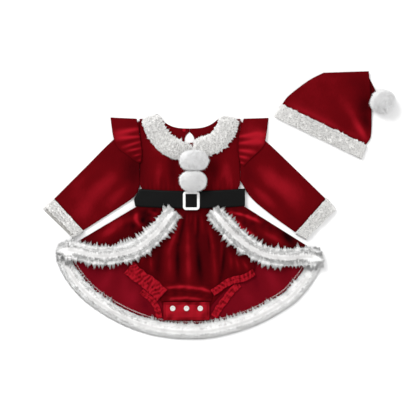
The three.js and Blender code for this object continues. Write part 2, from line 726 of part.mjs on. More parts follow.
const bloomerSide = (side, y) => {
  const t = clamp(y / BLOOMERS.legTop);
  return side < 0 ? mix(BLOOMERS.left, BLOOMERS.legLeft, t) : mix(BLOOMERS.right, BLOOMERS.legRight, t);
};
const LEFT_LEG = [
  { x: -118, y: -124 },
  { x: -104, y: -138 },
  { x: -87, y: -150 },
  { x: -70, y: -164 },
  { x: -56, y: -178 },
];
const RIGHT_LEG = [
  { x: 131, y: -135 },
  { x: 110, y: -148 },
  { x: 90, y: -153 },
  { x: 73, y: -160 },
  { x: 58, y: -171 },
  { x: 45, y: -180 },
];

// Height of the front panel's lower edge at x: the two leg openings and the crotch between them
function legEdge(x) {
  const rows = x < 0 ? LEFT_LEG : RIGHT_LEG;
  const outer = Math.abs(x);
  const k = rows.findIndex((row) => Math.abs(row.x) < outer);
  if (k < 0) return BLOOMERS.crotch;
  if (k === 0) return rows[0].y;
  const [a, b] = [rows[k], rows[k - 1]];
  return mix(a.y, b.y, (outer - Math.abs(a.x)) / Math.abs(b.x - a.x));
}

function bloomersFront() {
  const plan = (u, v) => {
    const low = mix(BLOOMERS.legLeft, BLOOMERS.legRight, u);
    const y = mix(SKIRT.waist, legEdge(low), v ** 0.8);
    const wide = bloomerSide(low < 0 ? -1 : 1, y) / (low < 0 ? BLOOMERS.legLeft : BLOOMERS.legRight);
    return { x: low * wide, y };
  };
  return layer(32, 15, plan, bloomersUnder, bloomersThick);
}

function bloomersBack() {
  const half = (y) => mix(BLOOMERS.right, 118, clamp(y / -120));
  const plan = (u, v) => {
    const y = mix(SKIRT.waist, TAB.bottom, v);
    const legs = step(-128, -232, y);
    const left = mix(-half(y) + 6, TAB.left + 6, legs ** 0.7);
    const right = mix(half(y) + 4, TAB.right - 6, legs ** 0.7);
    return { x: mix(left, right, u), y };
  };
  const under = (x, y) => bloomersBackUnder(x, y);
  return layer(8, 12, plan, under, () => CLOTH);
}

// A gathered elastic casing along a leg opening
function legBand({ line, width, waves, front }) {
  const plan = stripPlan(planCurve(line), width);
  const puff = (u) => Math.sin(Math.PI * clamp(u)) ** 0.6;
  const gather = (u, v) => 0.5 + 0.5 * Math.sin(2 * Math.PI * waves * v + 1.2 * Math.sin(5 * u));
  const base = (x, y) => (front ? bloomersUnder(x, y) + bloomersThick(x, y) : backTop(x, y) + 0.2);
  const under = (x, y, u, v) => base(x, y) + LAYER_GAP + 0.7 * gather(u, v);
  const thick = (x, y, u, v) => CLOTH + (front ? 1.5 : 0.9) * gather(u, v) * mix(0.5, 1, puff(u));
  return layer(2, waves * 3, plan, under, thick);
}

function crotchTab() {
  const plan = (u, v) => ({ x: mix(TAB.left, TAB.right, u), y: mix(TAB.top, TAB.bottom, v) });
  const under = () => 2 * (CLOTH + LAYER_GAP) + CLOTH;
  const rows = [{ x1: -40, y1: -233, x2: 30, y2: -230, w1: 4, w2: 4, high: 1 }];
  return layer(8, 4, plan, under, (x, y) => TAB.thick + creases(rows, x, y));
}

// A ring snap: a domed cap with a dimple at its middle
function snap() {
  const { radius, height } = SNAP;
  const profile = [
    [0, 0],
    [radius, 0],
    [radius, height * 0.55],
    [radius * 0.72, height],
    [radius * 0.36, height * 0.8],
    [0, height * 0.5],
  ];
  return new THREE.LatheGeometry(
    profile.map(([r, z]) => new THREE.Vector2(r, z)),
    12,
  ).rotateX(Math.PI / 2);
}

// A pompom: a ball of pile, a little squared so that two of them sit against each other
function pompom({ rx, ry, rz }) {
  const geometry = new THREE.SphereGeometry(1, 16, 10);
  const position = geometry.attributes.position;
  const square = (t) => Math.sign(t) * Math.abs(t) ** 0.86;
  for (let i = 0; i < position.count; i++)
    position.setXYZ(
      i,
      rx * square(position.getX(i)),
      ry * square(position.getY(i)),
      rz * square(position.getZ(i)),
    );
  return geometry;
}

// Hat

const hatLeft = planCurve(HAT_LEFT);
const hatRight = planCurve(HAT_RIGHT);
function hatPanelPlan(u, v) {
  const a = hatLeft.at(v);
  const b = hatRight.at(v);
  return { x: mix(a.x, b.x, u), y: mix(a.y, b.y, u) };
}
const hatBackUnder = (v) => HAT.back * step(0.15, 0.6, v);
const hatEdge = (u) => 1 - Math.abs(2 * u - 1) ** 3;

function hatFront() {
  const under = (x, y, u, v) => hatBackUnder(v) + CLOTH + LAYER_GAP + 2.6 * hatEdge(u) * step(1.05, 0.6, v);
  return layer(12, 9, hatPanelPlan, under, (x, y) => CLOTH + creases(HAT_CREASES, x, y));
}
function hatBack() {
  return layer(6, 7, hatPanelPlan, (x, y, u, v) => hatBackUnder(v), () => CLOTH);
}
// The tip of the crown, folded down behind the hat. It comes out at the right, where the pompom is sewn on.
function hatTail() {
  const plan = (u, v) => ({
    x: mix(mix(-22, 36, u), mix(71.6, 72.2, u), v),
    y: mix(mix(126, 157, u), mix(113, 129, u), v),
  });
  return layer(4, 6, plan, () => 0, (x, y, u, v) => mix(2.2, 2.6, v));
}
function hatBrim() {
  return flatTube({
    from: (v) => ({ x: -mix(HAT.half + 1, HAT.half - 1.4, v), y: mix(0, HAT.brim, v) }),
    to: (v) => ({ x: mix(HAT.half + 1, HAT.half - 1.4, v), y: mix(0, HAT.brim, v) }),
    along: 3,
    around: 24,
    height: HAT.brimHeight,
    wall: PILE_WALL,
  });
}

// Assembly

const romper = new THREE.Group();
romper.position.set(ROMPER_PLACE.x, ROMPER_PLACE.y, 0);
romper.add(
  piece("bodice_front", bodiceFront(), PALETTE.velvet),
  piece("bodice_back_left", bodiceBack(-1), PALETTE.velvet),
  piece("bodice_back_right", bodiceBack(1), PALETTE.velvet),
  piece("collar_left", collar(LEFT_COLLAR_LINE), PALETTE.fleece, 0.95),
  piece("collar_right", collar(RIGHT_COLLAR_LINE), PALETTE.fleece, 0.95),
  piece("belt", belt(), PALETTE.belt, 0.5),
  piece("overskirt_back", skirtBack(), PALETTE.satin),
  piece("overskirt_front_left", skirtFront(LEFT_FUR_LINE, -1), PALETTE.velvet),
  piece("overskirt_front_right", skirtFront(RIGHT_FUR_LINE, 1), PALETTE.velvet),
  piece("bloomers_back", bloomersBack(), PALETTE.velvet),
  piece("bloomers_front", bloomersFront(), PALETTE.velvet),
  piece("crotch_tab", crotchTab(), PALETTE.velvet),
);
for (const spec of SLEEVES) {
  romper.add(piece(`sleeve_${spec.side}`, sleeve(spec), PALETTE.satin));
  romper.add(piece(`cuff_${spec.side}`, cuff(spec), PALETTE.fleece, 0.95));
}
for (const spec of RUFFLES) romper.add(piece(spec.name, shoulderRuffle(spec), PALETTE.velvet));
for (const spec of LEG_BANDS) romper.add(piece(spec.name, legBand(spec), PALETTE.velvet));

// At the two outer corners the front fur lies over the low ends of the hem fur
const furOnFront = (x, y) => skirtFrontTop(x, y) + 2.3 * LAYER_GAP + 3.2 * step(200, 226, Math.abs(x));
const hemFur = { width: 34, height: 17, along: 36, under: () => 0, head: 0.025, tail: 0.025, crowd: 0.8, low: 0.36 };
const frontFur = { width: 44, height: 15, along: 18, under: furOnFront, head: 0.09, tail: 0.1, crowd: 0.4, low: 1 };
romper.add(
  piece("fur_hem", furBand(HEM_FUR_LINE, hemFur), PALETTE.fur, 0.95),
  piece("fur_front_left", furBand(LEFT_FUR_LINE, frontFur), PALETTE.fur, 0.95),
  piece("fur_front_right", furBand(RIGHT_FUR_LINE, frontFur), PALETTE.fur, 0.95),
);

const buckleFrame = piece("buckle", buckle(), PALETTE.white, 0.35);
buckleFrame.position.set(BUCKLE.x, BUCKLE.y, BELT.deck + BELT.wall + 0.3);
romper.add(buckleFrame);

for (const spec of POMPOMS) {
  const ball = piece(spec.name, pompom(spec), PALETTE.fur, 0.95);
  ball.position.set(spec.x, spec.y, bodiceTop(spec.x, spec.y) + 1 + spec.rz);
  romper.add(ball);
}

const tabTop = 2 * (CLOTH + LAYER_GAP) + CLOTH + TAB.thick;
[-1, 0, 1].forEach((k) => {
  const cap = piece(`snap_${k + 2}`, snap(), PALETTE.white, 0.3);
  cap.position.set(SNAP.middle + k * SNAP.pitch, SNAP.y, tabTop + 0.3);
  romper.add(cap);
});

const hat = new THREE.Group();
hat.position.set(HAT_PLACE.x, HAT_PLACE.y, 0);
hat.rotation.z = THREE.MathUtils.degToRad(HAT_PLACE.turn);
hat.add(
  piece("hat_front", hatFront(), PALETTE.velvet),
  piece("hat_back", hatBack(), PALETTE.velvet),
  piece("hat_tail", hatTail(), PALETTE.velvet),
  piece("hat_brim", hatBrim(), PALETTE.fleece, 0.95),
);
const hatBall = piece("hat_pompom", pompom({ rx: HAT_POMPOM.r, ry: HAT_POMPOM.r, rz: HAT_POMPOM.flat }), PALETTE.fur, 0.95);
hatBall.position.set(HAT_POMPOM.x, HAT_POMPOM.y, HAT_POMPOM.flat);
hat.add(hatBall);

const set = new THREE.Group();
set.add(romper, hat);

export default set;
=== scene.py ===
import math

import bpy
import numpy as np
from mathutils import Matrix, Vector


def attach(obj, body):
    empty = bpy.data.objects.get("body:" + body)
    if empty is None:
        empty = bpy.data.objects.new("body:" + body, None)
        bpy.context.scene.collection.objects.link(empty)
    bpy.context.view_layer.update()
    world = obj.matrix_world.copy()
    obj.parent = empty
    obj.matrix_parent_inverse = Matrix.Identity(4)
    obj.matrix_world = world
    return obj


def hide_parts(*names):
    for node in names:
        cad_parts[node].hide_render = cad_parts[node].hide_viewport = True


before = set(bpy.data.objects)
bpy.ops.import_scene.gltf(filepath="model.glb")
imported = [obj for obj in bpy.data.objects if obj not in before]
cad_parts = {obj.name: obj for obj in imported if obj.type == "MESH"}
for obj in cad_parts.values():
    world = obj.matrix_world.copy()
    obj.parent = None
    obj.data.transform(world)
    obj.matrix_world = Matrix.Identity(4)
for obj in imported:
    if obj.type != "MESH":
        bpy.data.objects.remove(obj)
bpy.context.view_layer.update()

MM = 0.001
UP = np.array([0, 0, 1.0])

# Where the two garments lie: the romper's origin is on its centre line at the waist seam, the hat's is the
# middle of the brim's lower edge
ROMPER = (-58.8, 7.15, 0.0)
HAT_AT = (196.8, 134.95, -25.8)

# The photograph looks straight down. 832 mm of floor fill its width.
CAMERA_AT = (-0.0218, -0.00485, 1.964)
LENS = 85

# Cloth and gaps, in millimetres
CLOTH = 1.2
LAYER_GAP = 0.6
SEAM_GAP = 0.3
PILE_WALL = 3.4

BODICE_LEFT, BODICE_RIGHT, SHOULDER, WAIST = -99.5, 101.3, 166.0, 0.3
FRONT_NECK = (57, 118, 2.2)
BACK_NECK = (57, 147, 3)
KEYHOLE = dict(top=139.5, length=30, half=9.5, rows=0.43)
COLLAR_WIDTH = 42
BELT = dict(left=-102, right=110.9, half=17.5, middle=4.5, bow=5, wall=1.3, deck=9.9, side=9.6)
BELT_END = dict(start=-60, low=-6, out=-8.5, top=2.6, point=-0.2)
BUCKLE = dict(x=3.8, y=2.6, width=33.4, height=37.5, bar=5.4, thick=3.2, corner=4)
SKIRT_WAIST = (-90.6, 96)
SKIRT_OPEN = (-30, 46)
LEFT_CORNER, RIGHT_CORNER = (-222, -78), (234, -87)
TAB = dict(left=-52, right=40, top=-199.6, bottom=-235.4, thick=2.6)
SNAP = dict(radius=5.4, height=1.7, y=-212, pitch=27.4, middle=-5.8)
HAT_POMPOM = dict(x=84, y=119, rx=23.4, ry=23.4, rz=21)
POMPOMS = {
    "pompom_upper": dict(x=9.4, y=81.7, rx=29.5, ry=20.2, rz=19),
    "pompom_lower": dict(x=7.2, y=41, rx=27, ry=20, rz=18),
}

# Soft folds: ridge from (x1, y1) to (x2, y2), w1 and w2 wide at its ends, and its height or brightness
BODICE_FOLDS = [
    (-66, 24, -60, 70, 5, 9, 1.3),
    (-40, 24, -44, 62, 4, 8, 1),
    (52, 24, 66, 64, 5, 10, 1.2),
    (84, 26, 70, 84, 6, 12, 1.1),
    (-78, 118, -50, 92, 8, 10, 0.8),
    (76, 120, 44, 96, 8, 10, 0.9),
]
BLOOMER_GATHERS = [
    (-13, -17, -24, -50, 3.5, 6, 3.2),
    (-24, -50, -41, -98, 6, 9, 3.4),
    (-41, -98, -38, -150, 9, 10, 2.8),
    (-3, -17, -6, -42, 2.4, 3, 2.2),
    (4, -17, 2, -40, 2.4, 3, 2.4),
    (12, -18, 12.5, -62, 2.6, 3.5, 2.8),
    (-4, -45, -3, -95, 5, 8, 2.8),
    (-3, -92, -1, -162, 8, 9, 3.6),
    (24, -20, 27, -60, 3, 5, 2.2),
    (40, -45, 47, -90, 4.5, 6, 2.8),
    (47, -88, 53, -156, 6, 7, 3.2),
    (65.5, -80, 62, -146, 3.5, 3.5, 2.4),
    (82, -104, 84, -132, 4, 4.5, 2.6),
    (93, -112, 99, -136, 4, 4.5, 2.6),
    (107, -118, 118, -136, 4.5, 4.5, 2.8),
    (-77, -109, -76, -136, 4, 4, 2.6),
    (-91, -106, -98, -122, 4, 4.5, 2.4),
]
CROTCH_FOLDS = [
    (-48, -171, -14, -168.8, 4, 4, 3),
    (-18, -168.8, 28, -173.5, 4, 4, 3),
    (24, -172.8, 46, -180, 4, 4, 2.8),
    (-44, -194, -6, -191, 4, 4, 2.6),
    (-10, -191, 28, -194.5, 4, 4, 2.6),
]
SKIRT_BACK_FOLDS = [
    (-150, -128, -176, -176, 9, 14, 2.6),
    (-104, -172, -118, -208, 9, 13, 2.6),
    (-206, -112, -226, -134, 7, 9, 1.6),
    (150, -128, 182, -176, 8, 13, 3),
    (104, -172, 128, -208, 9, 13, 2.4),
    (200, -120, 222, -146, 7, 9, 1.6),
]
SKIRT_FRONT_FOLDS = [
    (-104, -18, -107, -36, 6, 6, 3),
    (-107, -36, -94, -50, 6, 5, 3),
    (-84, -14, -66, -24, 4, 4, 3.2),
    (-74, -34, -62, -44, 5, 5, 2),
    (-122, -30, -182, -74, 9, 12, 1.8),
    (68, -14, 114, -28, 4, 4, 3.4),
    (114, -28, 142, -40, 4, 5, 3),
    (94, -37, 104, -53, 4, 5, 2.8),
    (104, -53, 130, -68, 5, 5, 2.8),
    (80, -24, 92, -36, 4, 4, 2.6),
    (140, -56, 190, -84, 8, 10, 1.8),
]
RUFFLE_FOLDS = [
    (-99, 146, -145, 136, 4, 7, 2.8),
    (-99, 130, -143, 126, 3, 6, 3.4),
    (-97, 120, -132, 109, 3, 5, 3),
    (-97, 107, -124, 101, 2.8, 4, 3),
    (-97, 95, -112, 91, 2.6, 3.2, 2.6),
    (-96, 84, -103, 82, 2.4, 2.6, 2),
    (98, 130, 148, 134, 3, 7, 3.2),
    (98, 116.5, 144, 120, 3, 6, 3.4),
    (98, 103, 129, 99, 3, 5, 3),
    (98, 91, 117, 87, 2.6, 4, 2.8),
    (100, 79, 109, 77, 2.4, 2.8, 2.2),
]
SLEEVE_FOLDS = [
    (-140, 60, -200, 12, 14, 18, 1.2),
    (-120, 36, -160, -4, 8, 12, 1),
    (140, 62, 206, 8, 14, 18, 1.2),
    (122, 34, 178, -16, 8, 12, 1.2),
]
HAT_FOLDS = [
    (84, 38, 34, 84, 5, 13, 2.6),
    (84, 60, 40, 136, 8, 10, -0.9),
    (-60, 40, 30, 42, 8, 8, 0.9),
    (-40, 112, 20, 140, 7, 9, 0.8),
]
# Patches of painted light (above zero) and painted shade (below zero) on the velvet, as folds are listed
PAINTED_LIGHT_PATCHES = [
    (-236, -12, -196, -34, 26, 22, 0.25),
    (-190, 66, -240, 22, 10, 12, 0.2),
    (-116, 96, -106, 30, 26, 28, -0.5),
    (-215, 10, -190, -20, 26, 24, 0.25),
    (150, 70, 240, 2, 20, 16, 0.2),
    (118, 84, 118, 20, 18, 20, -0.15),
    (215, 15, 196, -20, 24, 22, 0.25),
    (122, 142, 146, 120, 20, 18, 0.35),
    (-125, 140, -112, 100, 22, 16, -0.15),
    (60, -75, 52, -130, 10, 12, -0.15),
    (170, 10, 210, -40, 14, 14, -0.25),
    (-34, 96, -36, 30, 10, 13, -0.5),
    (52, 96, 52, 30, 11, 13, -0.45),
    (-76, 110, -72, 50, 12, 12, 0.05),
    (84, 120, 84, 60, 12, 14, 0.08),
    (-76, -24, -110, -50, 16, 16, -0.45),
    (-150, -48, -180, -76, 18, 16, 0.1),
    (80, -40, 92, -52, 8, 8, -0.4),
    (186, -58, 204, -84, 9, 10, -0.6),
    (-10, -30, -22, -85, 3.5, 4.5, -0.4),
    (-24, -85, -23, -155, 4.5, 6, -0.5),
    (17, -30, 15, -80, 3.5, 4.5, -0.4),
    (16, -85, 22, -155, 5, 7, -0.5),
    (37, -64, 41, -100, 2, 3, -0.4),
    (70, -92, 60, -160, 5, 5, -0.6),
    (-60, -95, -64, -150, 7, 8, -0.4),
    (-128, -142, -128, -204, 5, 22, 0.35),
    (-176, -134, -192, -150, 20, 16, -0.2),
    (-92, -196, -84, -214, 7, 8, -0.35),
    (125, -138, 137, -172, 5, 6, -0.3),
    (158, -150, 166, -178, 10, 12, 0.15),
]
# Where the hem's pile is short and its overlock seam shows, as folds are listed
BARE = [
    (-234, -111, -222, -138, 8, 8, 1.3),
    (-150, -206, -92, -230, 9, 9, 1.3),
    (228, -133, 210, -154, 8, 8, 1.3),
    (198, -168, 177, -190, 8, 8, 1.3),
]
# The same patches of painted light and painted shade on the hat
HAT_PAINTED_LIGHT_PATCHES = [
    (-50, 60, 0, 90, 26, 24, 0.12),
    (-20, 125, 40, 140, 20, 18, -0.25),
    (46, 118, 58, 80, 24, 18, -0.5),
    (58, 80, 86, 60, 16, 9, -0.45),
    (-80, 36, 70, 36, 5, 5, 0.25),
    (88, 41, 56, 62, 4, 9, 0.5),
    (56, 62, 13, 87, 7, 12, 0.15),
]

# Edge lines, as stations (x, y) along each edge
HEM_FUR_LINE = [
    (-250, -84), (-251.5, -104), (-247, -123), (-236, -143), (-217, -168), (-190, -193), (-145, -222),
    (-97, -243), (-52, -254), (-4, -258), (47, -255), (111, -238), (157, -217), (197, -192),
    (217, -172), (231, -155), (243, -137), (251, -122), (250, -104),
]
LEFT_FUR_LINE = [
    (-31, -19), (-43, -33), (-65, -61), (-91, -84), (-118, -98), (-150, -105), (-187, -106),
    (-218, -98), (-240, -95), (-261, -96),
]
RIGHT_FUR_LINE = [
    (47, -17), (58, -31), (76, -52), (96, -71), (120, -90), (149, -104), (180, -110), (206, -110),
    (234, -108), (263, -113),
]
# Runs of long pile: the backing has BACKING of the height, tufts are TUFT millimetres apart and hairs
# FUR_HAIR in radius. head and tail are the shares of a run that its rounded ends take, low is the share of
# its height that it has there, trunk the share of its width that the backing takes, hair the hair's length,
# outer the side that is trimmed even and join the side that lies over the hem's end, -1 or 1 and 0 for none
BACKING, TUFT, FUR_HAIR = 0.78, 7, 0.52
HEM_FUR = dict(
    width=34, height=17, head=0.025, tail=0.025, low=0.36, trunk=0.76, hair=9.0, outer=-1, join=0, hairs=35000
)
FRONT_FUR = dict(
    width=44, height=15, head=0.09, tail=0.1, low=1.0, trunk=0.7, hair=10.0, outer=0, join=1, hairs=26500
)
# A pompom's core has CORE of its radii. CURL is how wide a curl is
CORE, POMPOM_HAIRS, CURL = 0.84, 11000, 4
POMPOM_HAIR = dict(long=5.2, radius=0.49)
CURL_HAIR = dict(long=3.4, radius=0.77)
COLLAR_LINES = {
    "collar_left": [
        (-77, 171), (-73, 156), (-66, 141), (-56, 126), (-46, 116), (-33, 108), (-19, 104), (-8, 106.5),
        (-1, 114),
    ],
    "collar_right": [
        (79, 169), (76, 152), (70, 139), (57, 123), (41, 113.5), (25, 110), (9, 113.5),
    ],
}
LEG_BANDS = {
    "leg_band_left_front": (29, 11, True, [
        (-121, -131), (-104, -145), (-87, -157), (-70, -171), (-54, -186),
    ]),
    "leg_band_right_front": (14, 14, True, [
        (129, -140), (110, -151), (90, -155), (73, -162), (58, -173), (46, -181),
    ]),
    "leg_band_left_back": (12, 9, False, [
        (-96, -178), (-78, -193), (-66, -209), (-59.5, -232),
    ]),
    "leg_band_right_back": (14, 11, False, [
        (99, -164), (85, -177), (74.5, -191), (61, -209), (49, -229),
    ]),
}
LEFT_LEG = [
    (-118, -124), (-104, -138), (-87, -150), (-70, -164), (-56, -178),
]
RIGHT_LEG = [
    (131, -135), (110, -148), (90, -153), (73, -160), (58, -171), (45, -180),
]
SLEEVES = {
    "left": dict(
        top=[(-99.8, 162), (-150, 126), (-210, 66.5), (-270, 6.4)],
        under=[(-99.8, 29.5), (-111.5, 9.5), (-160, -23.5), (-212, -57)],
        mouth=((-292, -15), (-234, -71)),
        peek=7,
    ),
    "right": dict(
        top=[(101.6, 162), (152, 122), (212, 65), (272, 6.4)],
        under=[(101.6, 42), (124, 7.5), (166, -28), (212, -61)],
        mouth=((291, -16.6), (233, -72)),
        peek=0,
    ),
}
RUFFLES = {
    "shoulder_ruffle_left": (
        [
            (-105, 166), (-101, 144), (-97, 117.5), (-95, 98), (-96, 81),
        ],
        [
            (-158, 169), (-155, 148), (-150, 123), (-141, 106), (-127, 95.5), (-109, 82), (-99, 78),
        ],
    ),
    "shoulder_ruffle_right": (
        [
            (108, 166), (100, 136), (98, 104), (102, 75),
        ],
        [
            (158, 168), (154, 138), (148, 112), (132, 95), (118, 82), (108, 71),
        ],
    ),
}
HAT_LEFT = [
    (-93, 29.6), (-88, 52), (-66, 95), (-46, 122),
]
HAT_RIGHT = [
    (93, 29.6), (94, 51), (72, 98), (34, 164),
]


# Arithmetic
def mix(a, b, t):
    """a where t is 0 and b where it is 1, in a straight line between them."""
    return a + (b - a) * t


def bend(t, power):
    """t to that power, with its sign kept: a circle's cosine and sine bent so make a squared ring."""
    return np.sign(t) * np.abs(t) ** power


def unit(v):
    """Vectors over their lengths."""
    return v / (np.linalg.norm(v, axis=-1)[..., None] + 1e-9)


def smooth(a, b, x):
    """0 before a, 1 after b and an S curve between them."""
    t = np.clip((x - a) / (b - a), 0, 1)
    return t * t * (3 - 2 * t)


def folds(rows, x, y):
    """Sum of soft ridges: a Gaussian of the distance from each row's line, highest at the line's middle."""
    z = np.zeros(np.broadcast(x, y).shape)
    for x1, y1, x2, y2, w1, w2, high in rows:
        dx, dy = x2 - x1, y2 - y1
        along = np.clip(((x - x1) * dx + (y - y1) * dy) / (dx * dx + dy * dy), 0, 1)
        away = np.hypot(x - x1 - along * dx, y - y1 - along * dy)
        z += high * (0.45 + 0.55 * np.sin(math.pi * along)) * np.exp(-((away / mix(w1, w2, along)) ** 2))
    return z


def ripple(x, y, wave, seed, count=7):
    """Smooth noise from -1 to 1: plane waves of about that length in millimetres, in seeded directions."""
    rng = np.random.default_rng(seed)
    z = np.zeros(np.broadcast(x, y).shape)
    for _ in range(count):
        angle = rng.uniform(0, math.pi)
        length = wave * rng.uniform(0.7, 1.6)
        phase = (x * math.cos(angle) + y * math.sin(angle)) * 2 * math.pi / length
        z += np.sin(phase + rng.uniform(0, 2 * math.pi))
    return z / count


class Line:
    """A smooth plan curve through stations (x, y), read by its share of length: cubic pieces whose slope at
    a station is half the step between its neighbours."""

    def __init__(self, rows):
        p = np.array(rows, float)
        p = np.vstack([2 * p[0] - p[1], p, 2 * p[-1] - p[-2]])
        t = np.linspace(0, 1, 50, endpoint=False)[:, None]
        parts = []
        for a, b, c, d in zip(p, p[1:], p[2:], p[3:]):
            m, n = (c - a) / 2, (d - b) / 2
            parts.append(b + m * t + (3 * (c - b) - 2 * m - n) * t**2 + (2 * (b - c) + m + n) * t**3)
        self.points = np.vstack([*parts, p[-2]])
        self.far = np.append(0, np.cumsum(np.linalg.norm(np.diff(self.points, axis=0), axis=1)))
        self.length = self.far[-1]
        slope = np.gradient(self.points, axis=0)
        self.slope = slope / np.linalg.norm(slope, axis=1)[:, None]

    def at(self, v):
        """Plan points at the shares v of the length."""
        far = np.clip(v, 0, 1) * self.length
        return tuple(np.interp(far, self.far, self.points[:, k]) for k in (0, 1))

    def heading(self, v):
        """Unit directions of the curve there."""
        far = np.clip(v, 0, 1) * self.length
        x, y = (np.interp(far, self.far, self.slope[:, k]) for k in (0, 1))
        size = np.hypot(x, y)
        return x / size, y / size


# Heights of the stack of cloth, as the solids have them: each is in millimetres over the floor at (x, y)
def belt_rise(y):
    """All the cloth climbs over the belt's back layer: its wall and a gap at the waist, down to none past
    it."""
    return (BELT["wall"] + LAYER_GAP) * (smooth(-64, -18, y) - smooth(32, 72, y))


def back_folds(x, y):
    """The overskirt back's folds, below the waist alone."""
    return np.where(y < 0, folds(SKIRT_BACK_FOLDS, x, y), 0)


def back_top(x, y):
    """Top of the back layer: the rise over the belt, one cloth and the folds."""
    return belt_rise(y) + CLOTH + back_folds(x, y)


def bodice_under(x, y):
    """Underside of the bodice front: over the back layer and a gap, and lofted up to 2.2 mm in the
    middle."""
    loft = 2.2 * (1 - smooth(60, 99, abs(x - 1.5))) * smooth(-10, 40, y)
    return belt_rise(y) + CLOTH + LAYER_GAP + loft


def bodice_top(x, y):
    """Top of the bodice front: its underside, one cloth and the folds."""
    return bodice_under(x, y) + CLOTH + folds(BODICE_FOLDS, x, y)


def open_v(x, y):
    """0 under the overskirt's two front edges and 1 in the open V between them."""
    left = -14 - 82 * np.clip((abs(x) - 29) / 92, 0, 1) ** 0.8
    right = -16 - 88 * np.clip((abs(x) - 47) / 104, 0, 1) ** 0.8
    return smooth(0, 24, np.where(x < 0, left, right) - y)


def bloomer_folds(x, y):
    """The waist's gathers, where the open V shows them, and the folds across the crotch."""
    gathers = folds(BLOOMER_GATHERS, x, y) * smooth(-4, -26, y) * open_v(x, y)
    return gathers + folds(CROTCH_FOLDS, x, y)


def bloomers_back_under(y):
    """Underside of the bloomers' back: over the overskirt's back and a gap."""
    return belt_rise(y) + CLOTH + LAYER_GAP


def bloomers_under(x, y):
    """Underside of the bloomers' front: one cloth and a gap higher, lifted by 0.6 of its folds."""
    return bloomers_back_under(y) + CLOTH + LAYER_GAP + 0.6 * bloomer_folds(x, y)


def inside_fold(x, y):
    """Distance inside the overskirt's side fold, a line from the waist to its corner."""
    corner_x = np.where(x < 0, LEFT_CORNER[0], RIGHT_CORNER[0])
    corner_y = np.where(x < 0, LEFT_CORNER[1], RIGHT_CORNER[1])
    waist = np.where(x < 0, SKIRT_WAIST[0], SKIRT_WAIST[1])
    dx, dy = corner_x - waist, corner_y + WAIST
    return np.sign(dx) * ((x - waist) * dy - (y + WAIST) * dx) / np.hypot(dx, dy)


def skirt_front_under(x, y):
    """Underside of the overskirt's fronts: over the belt and one cloth, 3.7 mm up at the waist, and below it
    from none at the side fold to 7.4 mm at 26 mm inside it."""
    rise = mix(3.7, 7.4 * smooth(-10, 26, inside_fold(x, y)), smooth(-15, -42, y))
    return belt_rise(y) + CLOTH + 0.7 + rise


def skirt_front_folds(x, y):
    """The fronts' folds, which start at the belt's lower edge."""
    return folds(SKIRT_FRONT_FOLDS, x, y) * smooth(-14, -26, y)


def skirt_front_top(x, y):
    """Top of the fronts: their underside, one cloth and the folds."""
    return skirt_front_under(x, y) + CLOTH + skirt_front_folds(x, y)


# Meshes
def to_row(points, garment):
    """Millimetres in a garment's frame to metres in the row frame."""
    x0, y0, turn = garment
    c, s = math.cos(math.radians(turn)), math.sin(math.radians(turn))
    x, y, z = points[..., 0], points[..., 1], points[..., 2]
    return np.stack([x0 + c * x - s * y, y0 + s * x + c * y, z], -1) * MM


def new_object(name, points, faces, garment):
    """A smooth-shaded mesh object at the origin from points in millimetres and faces of one size."""
    mesh = bpy.data.meshes.new(name)
    placed = to_row(points, garment)
    size = faces.shape[1]
    mesh.vertices.add(len(placed))
    mesh.vertices.foreach_set("co", placed.ravel())
    mesh.loops.add(faces.size)
    mesh.loops.foreach_set("vertex_index", faces.ravel())
    mesh.polygons.add(len(faces))
    mesh.polygons.foreach_set("loop_start", np.arange(len(faces)) * size)
    mesh.polygons.foreach_set("use_smooth", np.ones(len(faces), bool))
    mesh.update(calc_edges=True)
    mesh.validate()
    obj = bpy.data.objects.new(name, mesh)
    bpy.context.scene.collection.objects.link(obj)
    return obj


def paint(obj, name, values):
    """An attribute that a material reads by its name: one number for each vertex, or one for all."""
    attribute = obj.data.attributes.new(name, "FLOAT", "POINT")
    each = np.broadcast_to(np.ravel(values), len(obj.data.vertices))
    attribute.data.foreach_set("value", each.astype(np.float32))


def grid(across, along):
    """Two arrays that run from 0 to 1, u down the rows and v along them."""
    return np.meshgrid(np.linspace(0, 1, across + 1), np.linspace(0, 1, along + 1), indexing="ij")


def wall_faces(n, m, round_it):
    """Faces of the closed solid between two n by m grids. With round_it the rows run round a ring."""
    last = n if round_it else n - 1
    i, j = np.meshgrid(np.arange(last), np.arange(m - 1), indexing="ij")
    k = (i + 1) % n

    def up(a, b):
        """Index of row a's point b in the upper grid, which comes first."""
        return a * m + b

    def low(a, b):
        """Index of the same point in the lower grid."""
        return n * m + a * m + b

    quads = [
        (up(i, j), up(k, j), up(k, j + 1), up(i, j + 1)),
        (low(i, j), low(i, j + 1), low(k, j + 1), low(k, j)),
    ]
    a = np.arange(last)
    b = (a + 1) % n
    quads.append((up(a, 0), low(a, 0), low(b, 0), up(b, 0)))
    quads.append((up(b, m - 1), low(b, m - 1), low(a, m - 1), up(a, m - 1)))
    if not round_it:
        c = np.arange(m - 1)
        quads.append((up(0, c + 1), low(0, c + 1), low(0, c), up(0, c)))
        quads.append((up(n - 1, c), low(n - 1, c), low(n - 1, c + 1), up(n - 1, c + 1)))
    return np.concatenate([np.stack(q, -1).reshape(-1, 4) for q in quads])


def outward(points, faces):
    """The faces, turned round where the solid's signed volume is below zero."""
    a, b, c, d = (points[faces[:, k]] for k in range(4))
    volume = (a * np.cross(b, c)).sum() + (a * np.cross(c, d)).sum()
    return faces if volume > 0 else faces[:, ::-1]


def wall(name, upper, lower, garment=ROMPER, round_it=False):
    """A closed wall of cloth between an upper and a lower grid of points."""
    points = np.concatenate([upper.reshape(-1, 3), lower.reshape(-1, 3)])
    faces = outward(points, wall_faces(*upper.shape[:2], round_it))
    return new_object(name, points, faces, garment)


